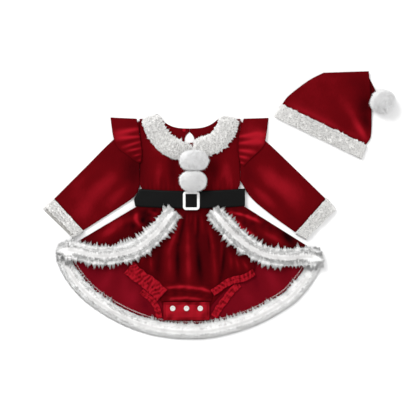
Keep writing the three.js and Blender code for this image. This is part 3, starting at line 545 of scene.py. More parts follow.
def capped(name, points, garment=ROMPER):
    """A closed solid from a grid of points whose rows run round it and whose columns run up it: quads in two
    triangles each, and at each end a fan of triangles to the middle of its ring."""
    n, m = points.shape[:2]
    i, j = np.meshgrid(np.arange(n), np.arange(m - 1), indexing="ij")
    k = (i + 1) % n
    quads = np.stack([i * m + j, k * m + j, k * m + j + 1, i * m + j + 1], -1).reshape(-1, 4)
    ring = np.arange(n)
    after = (ring + 1) % n
    low = np.stack([np.full(n, n * m), after * m, ring * m], -1)
    high = np.stack([np.full(n, n * m + 1), ring * m + m - 1, after * m + m - 1], -1)
    faces = np.vstack([quads[:, [0, 1, 2]], quads[:, [0, 2, 3]], low, high])
    ends = np.stack([points[:, 0].mean(0), points[:, -1].mean(0)])
    return new_object(name, np.vstack([points.reshape(-1, 3), ends]), faces, garment)


def lathe(name, rows, x0, y0, z0):
    """A solid turned round the upright axis through (x0, y0), from rows of radius and height over z0."""
    profile = np.array(rows)
    a = (np.arange(40) * 2 * math.pi / 40)[:, None]
    x, y = x0 + profile[:, 0] * np.cos(a), y0 + profile[:, 0] * np.sin(a)
    return capped(name, np.stack([x, y, z0 + profile[:, 1] + 0 * a], -1))


def round_ends(v, head, tail):
    """Share of a strip's width at v: 1, but over the shares head and tail a quarter circle's rise from
    0.25."""

    def near(share, reach):
        """A quarter circle's rise from 0 to 1 over the first reach of the share."""
        if not reach:
            return 1.0
        return np.sqrt(np.clip(1 - (1 - np.clip(share / reach, 0, 1)) ** 2, 0, 1))

    return mix(0.25, 1, near(v, head) * near(1 - v, tail))


def strip(line, u, v, width, head=0.0, tail=0.0):
    """Plan points of a strip along a line: u runs across it, square to the line's heading."""
    x, y = line.at(v)
    hx, hy = line.heading(v)
    off = (u - 0.5) * width * round_ends(v, head, tail)
    return x - hy * off, y + hx * off


# Materials
def linear(hexed):
    """An sRGB hex colour as linear RGBA."""
    values = [int(hexed[k : k + 2], 16) / 255 for k in (1, 3, 5)]
    return tuple(c / 12.92 if c <= 0.04045 else ((c + 0.055) / 1.055) ** 2.4 for c in values) + (1.0,)


def node(tree, kind, settings=(), stops=(), **inputs):
    """Adds a node, sets its properties and a ramp's (position, hex) stops, and sets or links its inputs. An
    input is named with _ for each space, or in_ and its number where several share a name."""
    made = tree.nodes.new(kind)
    for key, value in dict(settings).items():
        setattr(made, key, value)
    for _ in stops[2:]:
        made.color_ramp.elements.new(0.5)
    for k, (position, hexed) in enumerate(stops):
        made.color_ramp.elements[k].position = position
        made.color_ramp.elements[k].color = linear(hexed)
    for key, value in inputs.items():
        socket = made.inputs[int(key[3:]) if key.startswith("in_") else key.replace("_", " ")]
        if isinstance(value, bpy.types.NodeSocket):
            tree.links.new(value, socket)
        else:
            socket.default_value = value
    return made


def new_material(name):
    """An empty node material and its tree."""
    material = bpy.data.materials.new(name)
    material.use_nodes = True
    material.node_tree.nodes.clear()
    return material, material.node_tree


def per_metre(size):
    """The scale of a texture whose pattern is that many millimetres across."""
    return 1 / (size * MM)


def velvet(name, dark, middle, bright, sheen):
    """Stretch polyester velvet: cut pile 1 mm long, deep red all over with no gloss. Its colour carries painted
    light and shade, read from an attribute that each sheet paints: lighter in listed patches and on the
    folds' crests, and painted shade, nearly black, in the folds. Soft random patches 45 mm across and the
    pile's grain, 6 mm by 1.5 mm, are added to it."""
    material, tree = new_material(name)
    where = node(tree, "ShaderNodeTexCoord").outputs["Object"]
    painted_light = node(tree, "ShaderNodeAttribute", {"attribute_name": "painted_light"}).outputs["Fac"]
    broad = node(tree, "ShaderNodeTexNoise", Vector=where, Scale=per_metre(45.5), Detail=2.0).outputs["Fac"]
    clouds_and_painted_light = node(tree, "ShaderNodeMath", {"operation": "MULTIPLY_ADD"}, in_0=broad, in_1=0.22, in_2=painted_light)
    streak = node(tree, "ShaderNodeMapping", Vector=where, Scale=(1.0, 0.25, 1.0)).outputs["Vector"]
    fine = node(
        tree, "ShaderNodeTexNoise", Vector=streak, Scale=per_metre(1.54), Detail=2.0, Roughness=0.6
    ).outputs["Fac"]
    light = node(
        tree, "ShaderNodeMath", {"operation": "MULTIPLY_ADD"}, in_0=fine, in_1=0.12, in_2=clouds_and_painted_light.outputs[0]
    ).outputs[0]
    shade = node(
        tree, "ShaderNodeValToRGB", stops=[(0.1, dark), (0.62, middle), (1.0, bright)], Fac=light
    ).outputs["Color"]
    # The pile's tips are 1.1 mm apart here, coarser than they are, so that they show
    grain = node(tree, "ShaderNodeTexNoise", Vector=where, Scale=per_metre(1.11), Detail=2.0).outputs["Fac"]
    bump = node(tree, "ShaderNodeBump", Strength=0.2, Distance=0.6 * MM, Height=grain).outputs["Normal"]
    shader = node(
        tree, "ShaderNodeBsdfPrincipled", Base_Color=shade, Roughness=0.9, Normal=bump,
        Sheen_Weight=sheen, Sheen_Roughness=0.35, Sheen_Tint=linear("#d8182c"), Specular_IOR_Level=0.02,
    )
    node(tree, "ShaderNodeOutputMaterial", Surface=shader.outputs["BSDF"])
    return material


def pile(name, stops, patch, soft):
    """Acrylic pile, painted greyer towards the roots as the shade deep in the pile, and whiter towards the tips:
    the reach attribute runs from 0 at a hair's root to 1 at its tip, and clumps of patch millimetres differ
    a little. Fine fibres pass light on to each other, so a hair is lit mostly as the whole pile's surface
    there is: soft is the share of that surface's direction, the comb attribute, in each hair's own."""
    material, tree = new_material(name)
    where = node(tree, "ShaderNodeTexCoord").outputs["Object"]
    own = node(tree, "ShaderNodeNewGeometry").outputs["Normal"]
    comb = node(tree, "ShaderNodeAttribute", {"attribute_name": "comb"}).outputs["Vector"]
    blend = node(tree, "ShaderNodeMix", {"data_type": "VECTOR"}, Factor=soft, in_4=own, in_5=comb).outputs[1]
    facing = node(tree, "ShaderNodeVectorMath", {"operation": "NORMALIZE"}, Vector=blend).outputs["Vector"]
    reach = node(tree, "ShaderNodeAttribute", {"attribute_name": "reach"}).outputs["Fac"]
    clumps = node(tree, "ShaderNodeTexNoise", Vector=where, Scale=per_metre(patch), Detail=3.0).outputs["Fac"]
    light = node(tree, "ShaderNodeMath", {"operation": "MULTIPLY_ADD"}, in_0=clumps, in_1=0.5, in_2=reach)
    shade = node(tree, "ShaderNodeValToRGB", stops=stops, Fac=light.outputs[0]).outputs["Color"]
    shader = node(
        tree, "ShaderNodeBsdfPrincipled", Base_Color=shade, Roughness=0.9, Normal=facing,
        Sheen_Weight=0.1, Sheen_Roughness=0.5, Specular_IOR_Level=0.1,
    )
    node(tree, "ShaderNodeOutputMaterial", Surface=shader.outputs["BSDF"])
    return material


def plain(name, dark, bright, roughness, bump, grain, coat=0.0, level=0.5):
    """A smooth finish: noise of grain millimetres mottles its colour, raises its surface by bump and turns
    its roughness up and down by 0.08."""
    material, tree = new_material(name)
    where = node(tree, "ShaderNodeTexCoord").outputs["Object"]
    noise = node(tree, "ShaderNodeTexNoise", Vector=where, Scale=per_metre(grain), Detail=4.0).outputs["Fac"]
    gloss = node(tree, "ShaderNodeMapRange", Value=noise, To_Min=roughness - 0.08, To_Max=roughness + 0.08)
    raised = node(tree, "ShaderNodeBump", Strength=bump, Distance=0.4 * MM, Height=noise).outputs["Normal"]
    colour = node(tree, "ShaderNodeValToRGB", stops=[(0.3, dark), (0.7, bright)], Fac=noise).outputs["Color"]
    shader = node(
        tree, "ShaderNodeBsdfPrincipled", Base_Color=colour, Normal=raised, Roughness=gloss.outputs["Result"],
        Coat_Weight=coat, Specular_IOR_Level=level,
    )
    node(tree, "ShaderNodeOutputMaterial", Surface=shader.outputs["BSDF"])
    return material


# Polyester velvet, cut and brushed: deep red, painted nearly black in the folds as their shade
FACE = velvet("stretch_velvet", "#160002", "#5a040a", "#94121f", 0.1)
# The same cloth's knitted reverse, inside the skirt: smoother, lighter and flatter
INSIDE = velvet("velvet_reverse", "#3a0009", "#650713", "#7f0d1e", 0.03)
# Long straight acrylic pile, brushed: soft white, with pale grey painted shade at the roots, deep in the pile
FUR = pile("long_acrylic_fur", [(0.3, "#bfbebd"), (1.0, "#f8f8f7")], 16.7, 0.8)
# Cut and steamed acrylic yarn: the whitest and softest of the three
FLUFF = pile("cut_acrylic_pompom", [(0.1, "#efeeed"), (0.75, "#ffffff")], 16.7, 0.75)
# Short crimped acrylic pile: off-white curls, with warm grey painted shade at their roots and between them
CURLS = pile("curly_acrylic_pile", [(0.1, "#918f8b"), (0.75, "#f6f5f3")], 4.55, 0.6)
# Coated imitation leather, pressed with a fine grain: black with a dull satin shine
BELT_FINISH = plain("satin_leatherette", "#020202", "#050606", 0.46, 0.25, 1.43, level=0.1)
# Injection-moulded ABS: smooth glossy white
BUCKLE_FINISH = plain("moulded_white_plastic", "#dcdcdb", "#e9e9e8", 0.28, 0.05, 3.33, coat=0.4)
# Enamelled pressed snaps: glossy, a shade greyer
SNAP_FINISH = plain("pressed_white_snap", "#c6c4c0", "#d2d0cc", 0.25, 0.05, 3.33, coat=0.5)
# Spun polyester thread: matt, white on the overlock seam and dark red on the neck loop
THREAD = plain("white_overlock_thread", "#e8e4e2", "#f8f6f4", 0.7, 0.1, 2.0)
RED_THREAD = plain("red_topstitch_thread", "#5c0410", "#7c0a18", 0.6, 0.1, 2.0)


def dress(obj, node_name, material):
    """The piece is attached to the root body and has its finish. Given a CAD node, it stands for that node, which
    is hidden.
    """
    obj.data.materials.append(material)
    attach(obj, "root")
    if node_name:
        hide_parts(node_name)


def cloth(node_name, x, y, under, top, ridge, garment=ROMPER, finish=FACE):
    """A velvet sheet that stands for a node and lies between the heights under and top. Its painted light and
    shade is 0.5, and 0.22 of how high its folds stand, so that crests are painted lighter and valleys
    darker, and 0.5 of the listed patches of painted light and shade there."""
    upper, lower = np.stack([x, y, top], -1), np.stack([x, y, under], -1)
    obj = wall("velvet_" + node_name, upper, lower, garment)
    rows = PAINTED_LIGHT_PATCHES if garment == ROMPER else HAT_PAINTED_LIGHT_PATCHES
    light = 0.5 + 0.22 * ridge + 0.5 * folds(rows, x, y)
    paint(obj, "painted_light", np.tile(light.ravel(), 2))
    dress(obj, node_name, finish)


# Pile and thread
def stitches(name, x, y, z, hx, hy, material, long, radius):
    """Thread that lies on the cloth, one closed spindle a stitch: from (x, y, z) along (hx, hy) for 0.75 to
    1.2 of long, with a ring of three points round its axis at 0.4 of its length."""
    rng = np.random.default_rng(5)
    n = len(x)
    root = np.stack([x, y, z], -1)
    lean = unit(np.stack([hx, hy, np.zeros_like(hx)], -1))
    reach = long * rng.uniform(0.75, 1.2, (n, 1))
    side = unit(np.cross(lean, rng.normal(size=(n, 3))))
    other = np.cross(lean, side)
    angles = 2 * math.pi * np.arange(3) / 3
    ring = [root + 0.4 * reach * lean + radius * (math.cos(a) * side + math.sin(a) * other) for a in angles]
    points = np.stack([root, *ring, root + reach * lean], 1)
    faces = np.array([[0, 2, 1], [0, 3, 2], [0, 1, 3], [4, 1, 2], [4, 2, 3], [4, 3, 1]])
    base = 5 * np.arange(n)[:, None, None]
    obj = new_object(name, points.reshape(-1, 3), (base + faces).reshape(-1, 3), ROMPER)
    dress(obj, None, material)


def paint_comb(obj, normals, turn=0.0):
    """The way that the pile's surface faces at each vertex, turned with its garment."""
    attribute = obj.data.attributes.new("comb", "FLOAT_VECTOR", "POINT")
    attribute.data.foreach_set("vector", unit(to_row(normals, (0, 0, turn))).astype(np.float32).ravel())


def comb_core(obj, level=0.0):
    """A core is lit as it faces, and by the share level as a level surface: a mix of its normal and up."""
    normals = np.empty(len(obj.data.vertices) * 3, np.float32)
    obj.data.vertices.foreach_get("normal", normals)
    paint_comb(obj, mix(normals.reshape(-1, 3).astype(float), UP, level))


def hairs(name, root, tip, normal, radius, material, garment=ROMPER, tone=1.0, foot=0.0):
    """Closed cones from root to tip, each a ring of three points round its root and the tip. They share the
    normal of the pile's surface. tone is how white each one's tip is, and foot the share of that at its
    root, so that the roots are painted darker: painted shade deep in the pile."""
    n = len(root)
    lean = unit(tip - root)
    side = unit(np.cross(lean, [0.31, 0.17, 0.93]))
    other = np.cross(lean, side)
    angles = 2 * math.pi * np.arange(3) / 3
    ring = [root + radius * (math.cos(a) * side + math.sin(a) * other) for a in angles]
    points = np.stack([*ring, tip], 1)
    points[..., 2] = np.maximum(points[..., 2], 0.05)
    faces = np.array([[0, 2, 1], [0, 1, 3], [1, 2, 3], [2, 0, 3]])
    base = 4 * np.arange(n)[:, None, None]
    obj = new_object(name, points.reshape(-1, 3), (base + faces).reshape(-1, 3), garment)
    paint(obj, "reach", np.broadcast_to(tone, n)[:, None] * np.array([foot, foot, foot, 1.0]))
    paint_comb(obj, np.repeat(normal, 4, axis=0), garment[2])
    dress(obj, None, material)


def fur_trim(name, rows, spec, under, seed):
    """A run of long pile: a hump of backing, and hairs combed out from its middle line. The hairs of each
    tuft lean together, so that their tips end in one point."""
    line = Line(rows)
    count, height, head, tail = spec["hairs"], spec["height"], spec["head"], spec["tail"]
    trunk = spec["width"] * spec["trunk"]

    def hump(u, v):
        """Height of the backing: an ellipse across the run, times the rounding of its ends."""
        across = np.sqrt(np.clip(1 - (2 * u - 1) ** 2, 0, 1))
        ends = mix(spec["low"], 1, smooth(0.055, 0.115, np.minimum(v, 1 - v)))
        return BACKING * height * mix(0.1, 1, across) * mix(0.2, 1, round_ends(v, head, tail)) * ends

    def surface(u, v):
        """Plan point, underside and top of the backing: what lies below, the hump, uneven by 0.08 of itself
        over 26 mm, and streaks across the run 0.6 mm high and 5 to 9 mm apart."""
        x, y = strip(line, u, v, trunk, head, tail)
        base = under(x, y)
        along = v * line.length + 5 * ripple(x, y, 40, seed + 3)
        streak = ripple(along, 0 * along, 7, seed + 4, 9)
        return x, y, base, base + hump(u, v) * (1 + 0.08 * ripple(x, y, 26, seed)) + 0.6 * streak

    def point(u, v):
        """A point on the backing's top."""
        x, y, _, z = surface(u, np.clip(v, 0, 1))
        return np.stack([x, y, z], -1)

    def white(off, v):
        """The crest catches the most light, so its fibres are painted darker to offset it, down to 0.15. The
        sides and ends lie in shade, so they are painted the whitest, 1: painted light."""
        return mix(0.15, 1.0, np.maximum(smooth(0.04, 0.46, abs(off)), smooth(0.8, 0.94, abs(2 * v - 1))))

    u, v = grid(14, int(line.length / 2.6))
    x, y, base, top = surface(u, v)
    obj = wall(name, np.stack([x, y, top + 0.6], -1), np.stack([x, y, base], -1))
    # The backing is painted at 0.7 of the hairs' tone: painted shade under the hair
    paint(obj, "reach", np.tile(0.7 * white(2 * u - 1, v).ravel(), 2))
    comb_core(obj, 0.75)
    dress(obj, name, FUR)

    rng = np.random.default_rng(seed)
    cu = rng.beta(0.8, 0.8, count)
    cv = rng.uniform(0, 1, count)
    root = point(cu, cv)
    # Each hair lies outwards over the hump. Past the hump's edges the tips of each tuft meet in a point
    off = 2 * cu - 1
    side = np.where(off > 0, 1, -1)
    edge = smooth(0.35, 0.8, abs(off))
    cells = int(line.length / TUFT)
    cell = np.clip((cv * cells + 0.2 * rng.normal(size=count)).astype(int), 0, cells - 1)
    mid, long = rng.uniform(-1, 1, (2, cells, 2))[:, cell, (side + 1) // 2]
    tuft = (cell + 0.5 + 0.3 * mid) / cells
    apart = np.clip(abs(cv - tuft) * cells * 2, 0, 1)
    # The outer side is trimmed even, and the inner side runs out in points
    even = edge * (side == spec["outer"])
    point_long = mix(0.95 + 0.5 * long - 0.35 * apart, 0.5, even)
    reach = spec["hair"] * mix(0.8, point_long, edge) * rng.uniform(0.7, 1.1, count)
    # At its tail a front run's hair falls over the hem's, so that they make one corner
    over = smooth(0.84, 0.93, cv) * smooth(1, 0.96, cv) * (side == spec["join"])
    if spec["outer"]:
        reach *= 1 - 0.8 * np.clip(folds(BARE, root[:, 0], root[:, 1]), 0, 1)
    reach *= (1 + 0.6 * over) * mix(1, 0.45, smooth(0.93, 1, cv) * (side != spec["join"]))
    sway = 0.5 * ripple(root[:, 0], root[:, 1], 34, seed + 1) + 0.3 * rng.normal(size=count)
    tip_u = cu + side * reach / trunk
    tip_v = mix(cv + 0.4 * reach * sway / line.length, tuft, 0.75 * edge * (1 - even))
    tip = point(tip_u, tip_v)
    ends = smooth(1 - tail, 1, cv) - smooth(head, 0, cv)
    hx, hy = line.heading(cv)
    tip += np.stack([hx, hy, 0 * hx], -1) * (0.7 * ends * reach)[:, None]
    tip += rng.normal(0, 0.6, tip.shape)
    tip[:, 2] += rng.uniform(0.4, 1.8, count) - 6 * over * edge
    # The pile is lit as a surface that leans a little as its backing does, and less at its tail
    across = point(cu + 0.03, cv) - point(cu - 0.03, cv)
    down = point(cu, cv + 0.002) - point(cu, cv - 0.002)
    normal = unit(np.cross(down, across))
    normal *= np.sign(normal[:, 2:])
    normal = unit(0.24 * normal * (1 - smooth(0.88, 0.98, cv))[:, None] + UP)
    # Tufts 6 mm and clumps 19 mm along the run differ in tone
    along = cv * line.length
    tone = white(off, cv) + 0.18 * ripple(along, 12 * cu, 6, seed + 5, 9)
    tone += 0.1 * ripple(along, 0 * cu, 19, seed + 6)
    hairs(name + "_pile", root, tip, normal, FUR_HAIR, FUR, tone=np.clip(tone, 0, 1.1), foot=0.6)


def ball(name, spec, centre_z, seed, garment=ROMPER):
    """A pompom: a squared ball of three radii, its angles' cosines and sines to the power 0.86, with lumps
    26 and 11 mm across. Hairs stand out of it all round but from underneath, swirled in clumps 8 mm
    across."""

    def surface(a, b, share):
        """The point at angle a round the axis and b down from its top, at that share of the radii."""
        x = bend(np.cos(a) * np.sin(b), 0.86) * (spec["rx"] * share)
        y = bend(np.sin(a) * np.sin(b), 0.86) * (spec["ry"] * share)
        z = bend(np.cos(b), 0.86) * (spec["rz"] * share)
        broad, fine = ripple(x + 2 * z, y + 1.3 * z, 26, seed), ripple(x - z, y + 2 * z, 11, seed + 9)
        lump = 1 + 0.1 * broad + 0.08 * fine
        return np.stack([spec["x"] + x * lump, spec["y"] + y * lump, centre_z + z * lump], -1)

    round_it, down = np.arange(40) * 2 * math.pi / 40, np.linspace(math.pi - 0.02, 0.02, 24)
    a, b = np.meshgrid(round_it, down, indexing="ij")
    obj = capped(name, surface(a, b, CORE), garment)
    paint(obj, "reach", 0.5)
    comb_core(obj)
    dress(obj, name, FLUFF)
    rng = np.random.default_rng(seed)
    away = unit(rng.normal(size=(POMPOM_HAIRS, 3)))
    away = away[away[:, 2] > -0.75]
    root = surface(np.arctan2(away[:, 1], away[:, 0]), np.arccos(away[:, 2]), CORE - 0.01)
    x, y, z = root.T
    swirl = np.stack([ripple(x + z, y - z, 8, seed + k) for k in range(3)], -1)
    flat = swirl - (swirl * away).sum(1)[:, None] * away
    upright = mix(1.8, 0.6, abs(away[:, 2:]))
    lean = unit(upright * away + 1.5 * flat + rng.normal(0, 0.4, away.shape))
    tip = root + lean * POMPOM_HAIR["long"] * (0.5 + 1.3 * rng.beta(1.2, 3.2, (len(root), 1)))
    normal = unit(away + 1.1 * swirl + 2.2 * UP)
    tone = 0.95 + 0.5 * ripple(x - z, y + z, 10, seed + 4)
    radius = POMPOM_HAIR["radius"]
    hairs(name + "_pile", root, tip, normal, radius, FLUFF, garment, tone, foot=0.75)


def normals_of(points):
    """Unit normals of a grid of points, the cross product of its two steps, turned to face up on the
    whole."""
    normal = unit(np.cross(np.gradient(points, axis=0), np.gradient(points, axis=1)))
    return normal * np.where(normal[..., 2].sum() < 0, -1, 1)


def curly(name, points, count, seed, garment=ROMPER, ragged=0.45):
    """Short curls over a surface given by its grid of points. Each hair stands along the normal and leans as
    its cell, 4 mm across, does, so that a cell's tips meet in a curl. At the grid's edges they lie out past
    them."""
    rng = np.random.default_rng(seed)
    n, m = points.shape[:2]
    wide = np.linalg.norm(np.diff(points, axis=0), axis=-1).sum(0).max()
    long = np.linalg.norm(np.diff(points, axis=1), axis=-1).sum(1).max()
    fu, fv = rng.uniform(0, 1, count), rng.uniform(0, 1, count)

    def read(field, u, v):
        """A grid's values at shares u and v, in straight lines between its points."""
        fi, fj = np.clip(u, 0, 1) * (n - 1.001), np.clip(v, 0, 1) * (m - 1.001)
        i, j = fi.astype(int), fj.astype(int)
        a, b = (fi - i)[:, None], (fj - j)[:, None]
        low = mix(field[i, j], field[i + 1, j], a)
        high = mix(field[i, j + 1], field[i + 1, j + 1], a)
        return mix(low, high, b)

    rows, columns = int(wide / CURL) + 1, int(long / CURL) + 1
    row = np.clip((fu * rows + 0.3 * rng.normal(size=count)).astype(int), 0, rows - 1)
    column = np.clip((fv * columns + 0.3 * rng.normal(size=count)).astype(int), 0, columns - 1)
    own = rng.uniform(-1, 1, (rows, columns, 4))[row, column]
    cell_u = (row + 0.5 + 0.4 * own[:, 0]) / rows
    cell_v = (column + 0.5 + 0.4 * own[:, 1]) / columns
    root, normal = read(points, fu, fv), unit(read(normals_of(points), fu, fv))
    to_u = read(unit(np.gradient(points, axis=0)), fu, fv)
    to_v = read(unit(np.gradient(points, axis=1)), fu, fv)
    edge_u = ((2 * fu - 1) ** 7 * (1.5 + own[:, 2]))[:, None]
    edge_v = ((2 * fv - 1) ** 7 * (1.5 + own[:, 3]))[:, None]
    lean = 0.8 * own[:, 2:3] * to_u + 0.8 * own[:, 3:] * to_v
    out = ragged * (edge_u * to_u + (1 - abs(edge_u / 2.5)) * edge_v * to_v)
    reach = CURL_HAIR["long"] * rng.uniform(0.6, 1.1, (count, 1))
    tip = mix(root, read(points, cell_u, cell_v), 0.55) + (normal + lean + out) * reach
    tip += rng.normal(0, 0.35, (count, 3))
    faces_to, radius = unit(normal + 0.6 * lean), CURL_HAIR["radius"]
    hairs(name, root - 0.3 * normal, tip, faces_to, radius, CURLS, garment)


# Bodice
def neck_edge(neck, x):
    """Height of a neck's edge at x: from bottom up to the shoulder by |x| / half to a power."""
    half, bottom, power = neck
    share = np.minimum(abs(x), half) / half
    return np.where(abs(x) < half, bottom + (SHOULDER - bottom) * share**power, SHOULDER)


def draw_in(y):
    """The belt draws the sides in: share of the full width at height y."""
    return 1 - 0.045 * smooth(37, 24, y)


def bodice():
    """The front runs from the waist up to the neck's edge. Its top is its underside, one cloth, the folds,
    ripples 30 mm long and 0.175 mm puckers over the belt, a sine of 9 mm. Each back half runs out from the
    centre-back seam, which opens into the keyhole: half its width times a sine, to the power 0.8, of the
    share down it."""
    u, v = grid(64, 48)
    x = mix(BODICE_LEFT, BODICE_RIGHT, u)
    y = mix(WAIST, neck_edge(FRONT_NECK, x), v)
    x = x * draw_in(y)
    ridge = folds(BODICE_FOLDS, x, y)
    puckers = 0.5 * smooth(60, 24, y) * np.sin(x * 2 * math.pi / 9 + 2 * ripple(x, y, 40, 3))
    top = bodice_under(x, y) + CLOTH + ridge + 0.25 * ripple(x, y, 30, 4) + 0.35 * puckers
    # Painted light and shade: lighter on the folds' and puckers' crests, darker between them
    painted_relief_light = 0.6 * (ridge + puckers) - 0.5
    cloth("bodice_front", x, y, bodice_under(x, y), top, painted_relief_light)
    foot, rows = KEYHOLE["top"] - KEYHOLE["length"], KEYHOLE["rows"]
    for side, edge, name in ((-1, -BODICE_LEFT, "bodice_back_left"), (1, BODICE_RIGHT, "bodice_back_right")):
        u, v = grid(24, 60)
        above = (v - rows) / (1 - rows)
        neck = neck_edge(BACK_NECK, edge * u)
        y = np.where(above < 0, mix(WAIST, foot, v / rows), mix(foot, neck, above))
        t = np.clip((KEYHOLE["top"] - y) / KEYHOLE["length"], 0, 1)
        gap = KEYHOLE["half"] * np.sin(math.pi * t) ** 0.8 + SEAM_GAP / 2
        x = side * mix(gap, edge * draw_in(y), u)
        top = belt_rise(y) + CLOTH + 0.1 * ripple(x, y, 24, 9)
        # The back halves are painted darker, at -0.5: painted shade under the front
        cloth(name, x, y, belt_rise(y), top, -0.5)


def collars():
    """Each half is a strip of pile round the neck. It is 5.2 mm thick, less by the fourth power of the
    distance across down to 2 mm at its edges, 0.6 of that at its ends, and uneven by lumps 6.5 mm across."""
    for name, rows in COLLAR_LINES.items():
        line = Line(rows)
        u, v = grid(36, 90)
        x, y = strip(line, u, v, COLLAR_WIDTH - 3, 0.08, 0.2)
        under = bodice_top(x, np.minimum(y, SHOULDER)) + LAYER_GAP
        edge = 1 - (2 * u - 1) ** 4
        thick = mix(2, 5.2, edge) * mix(0.6, 1, smooth(0, 0.12, v) * smooth(1, 0.9, v))
        top = under + thick + 1.1 * ripple(x, y, 6.5, 21, 14)
        upper = np.stack([x, y, top], -1)
        obj = wall("curly_" + name, upper, np.stack([x, y, under], -1))
        # The backing between the curls is painted grey: painted shade between them
        paint(obj, "reach", 0.3)
        dress(obj, name, CURLS)
        comb_core(obj)
        curly(name + "_curls", upper, 9000, 31)


def ruffles():
    """Each ruffle spans from its seam to its free edge in straight lines. Its underside is high over the
    bodice and drops to 1.3 mm over 6 to 34 mm out past the line of the sleeve's top edge, through (99, 162).
    Folds lift it by 0.7 of their height, and its top by 0.3 more."""
    high, drop = 5.9, 4.6
    for name, (seam, free) in RUFFLES.items():
        inner, outer = Line(seam), Line(free)
        u, v = grid(150, 16)
        ax, ay = inner.at(u)
        bx, by = outer.at(u)
        x, y = mix(ax, bx, v), mix(ay, by, v)
        beyond = 0.807 * (y - 162) + 0.591 * (abs(x) - 99)
        ridge = folds(RUFFLE_FOLDS, x, y)
        under = high - drop * smooth(6, 34, beyond) + 0.7 * ridge
        top = under + CLOTH + 0.3 * ridge + 0.2 * ripple(x, y, 14, 11)
        # Painted light and shade: lighter on the folds' crests, darker between them
        painted_relief_light, cut = 0.7 * ridge - 0.4, (110, 60, 0.0044)
        cloth(name, x, y, under, top, painted_relief_light)


def flat_tube(name, from_, to, along, height, walls, lift, pull=0.0, turn=(0, 0), garment=ROMPER, around=72):
    """A flattened tube between two edge lines. Its section is a squared ring on the floor: across it goes an
    angle's cosine to the power 0.8, and up it the sine to the power 0.45. lift raises the upper layer, and
    pull sets it back along turn at the far end."""
    angle = np.arange(around)[:, None] * 2 * math.pi / around
    c, s = bend(np.cos(angle), 0.8), bend(np.sin(angle), 0.45)
    v = np.linspace(0, 1, along + 1)[None, :]
    ax, ay = from_(v)
    bx, by = to(v)
    half = np.hypot(ax - bx, ay - by) / 2
    upper_half = smooth(0.0, 0.6, s)
    middle = height / 2
    inner = c * (half - walls * 1.3) / half
    rings = []
    for share, z in ((c, middle * (1 + s)), (inner, middle + (middle - walls) * s)):
        back = pull * v * upper_half
        x = mix(bx, ax, 0.5 + share / 2) - turn[0] * back
        y = mix(by, ay, 0.5 + share / 2) - turn[1] * back
        rings.append(np.stack([x, y, z + lift(x, y) * upper_half + 0 * v], -1))
    obj = wall(name, rings[0], rings[1], garment, round_it=True)
    return obj, rings[0]


def sleeves():
    """Each sleeve is a flattened tube from armhole to cuff, with ripples 44 mm long on its upper layer."""
    for side, spec in SLEEVES.items():
        a, b = Line(spec["top"]), Line(spec["under"])

        def lift(x, y):
            """The folds, faded out 124 to 104 mm and 190 to 230 mm from the centre line."""
            reach = abs(x)
            return folds(SLEEVE_FOLDS, x, y) * smooth(230, 190, reach) * smooth(104, 124, reach)

        obj, ring = flat_tube(
            "velvet_sleeve_" + side, a.at, b.at, 60, 5.4, CLOTH,
            lambda x, y: lift(x, y) + 0.35 * ripple(x, y, 44, 8),
        )
        x, y = ring[..., 0], ring[..., 1]
        # Painted light and shade: lighter on the folds' crests and in the listed patches, darker in the others
        light = 0.38 + 0.2 * lift(x, y) + 0.5 * folds(PAINTED_LIGHT_PATCHES, x, y)
        paint(obj, "painted_light", np.tile(light.ravel(), 2))
        dress(obj, "sleeve_" + side, FACE)
        cuff(side, spec)


def cuff(side, spec):
    """A flattened tube of pile from the sleeve's end to its mouth, with curls on its upper layer. peek is
    how far that layer is set back, so that the lower one shows."""
    a, b = np.array(spec["top"][-1], float), np.array(spec["under"][-1], float)
    c, d = np.array(spec["mouth"][0], float), np.array(spec["mouth"][1], float)
    run = (c - a + d - b) / 2
    long = np.hypot(*run)
    seam = SEAM_GAP / long

    def edge(p, q):
        """The straight edge from p to q past the seam's gap, as a function of its share."""
        return lambda v: (mix(p[0], q[0], mix(seam, 1, v)), mix(p[1], q[1], mix(seam, 1, v)))

    obj, ring = flat_tube(
        "curly_cuff_" + side, edge(a, c), edge(b, d), 14, 8.2, PILE_WALL,
        lambda x, y: 0.5 * ripple(x, y, 7, 22, 12), spec["peek"], run / long,
    )
    # The lower layer, which shows where it lies out past the upper one, is painted greyer: painted shade inside
    # the cuff's mouth
    core = np.where(ring[..., 2] < 3, -0.1, 0.3).ravel()
    paint(obj, "reach", np.tile(core, 2))
    dress(obj, "cuff_" + side, CURLS)
    half = ring[: len(ring) // 2 + 1]
    comb_core(obj)
    curly("cuff_curls_" + side, half, 6500, 41, ragged=0.3)


# Waist
def belt():
    """A closed band laid flat, between an outer ring and one that lies its wall's thickness inside."""
    around = 160
    angle = (np.arange(around) * 2 * math.pi / around)[:, None]
    v = np.linspace(-1, 1, 11)[None, :]

    def ring(inset):
        """A squared ring: across the waist goes the cosine to the power 0.7, and up the sine to the power
        0.08. Its edges bow up by the square of the distance from the middle and step out at the left."""
        half = (BELT["right"] - BELT["left"]) / 2 - inset
        c, s = bend(np.cos(angle), 0.7), bend(np.sin(angle), 0.08)
        x = (BELT["left"] + BELT["right"]) / 2 + half * c
        top = mix(BELT["deck"], BELT["side"], smooth(50, 108, abs(x))) + BELT["wall"]
        top = top + 0.35 * ripple(x + 0 * v, 25 * v, 60, 6) * smooth(0.2, 0.6, s)
        z = mix(inset, top - inset, 0.5 + 0.5 * s) + 0 * v
        share = abs(x) / BELT["right"]
        y = BELT["half"] * v + BELT["middle"] + BELT["bow"] * share**2
        steps = [BELT_END["low"], BELT_END["out"], BELT_END["top"]]
        shift = np.interp(v, [-1, BELT_END["point"], 1], steps)
        return np.stack([x + smooth(BELT_END["start"], BELT["left"], x) * shift, y + 0 * x, z], -1)

    obj = wall("leatherette_belt", ring(0), ring(BELT["wall"]), round_it=True)
    dress(obj, "belt", BELT_FINISH)


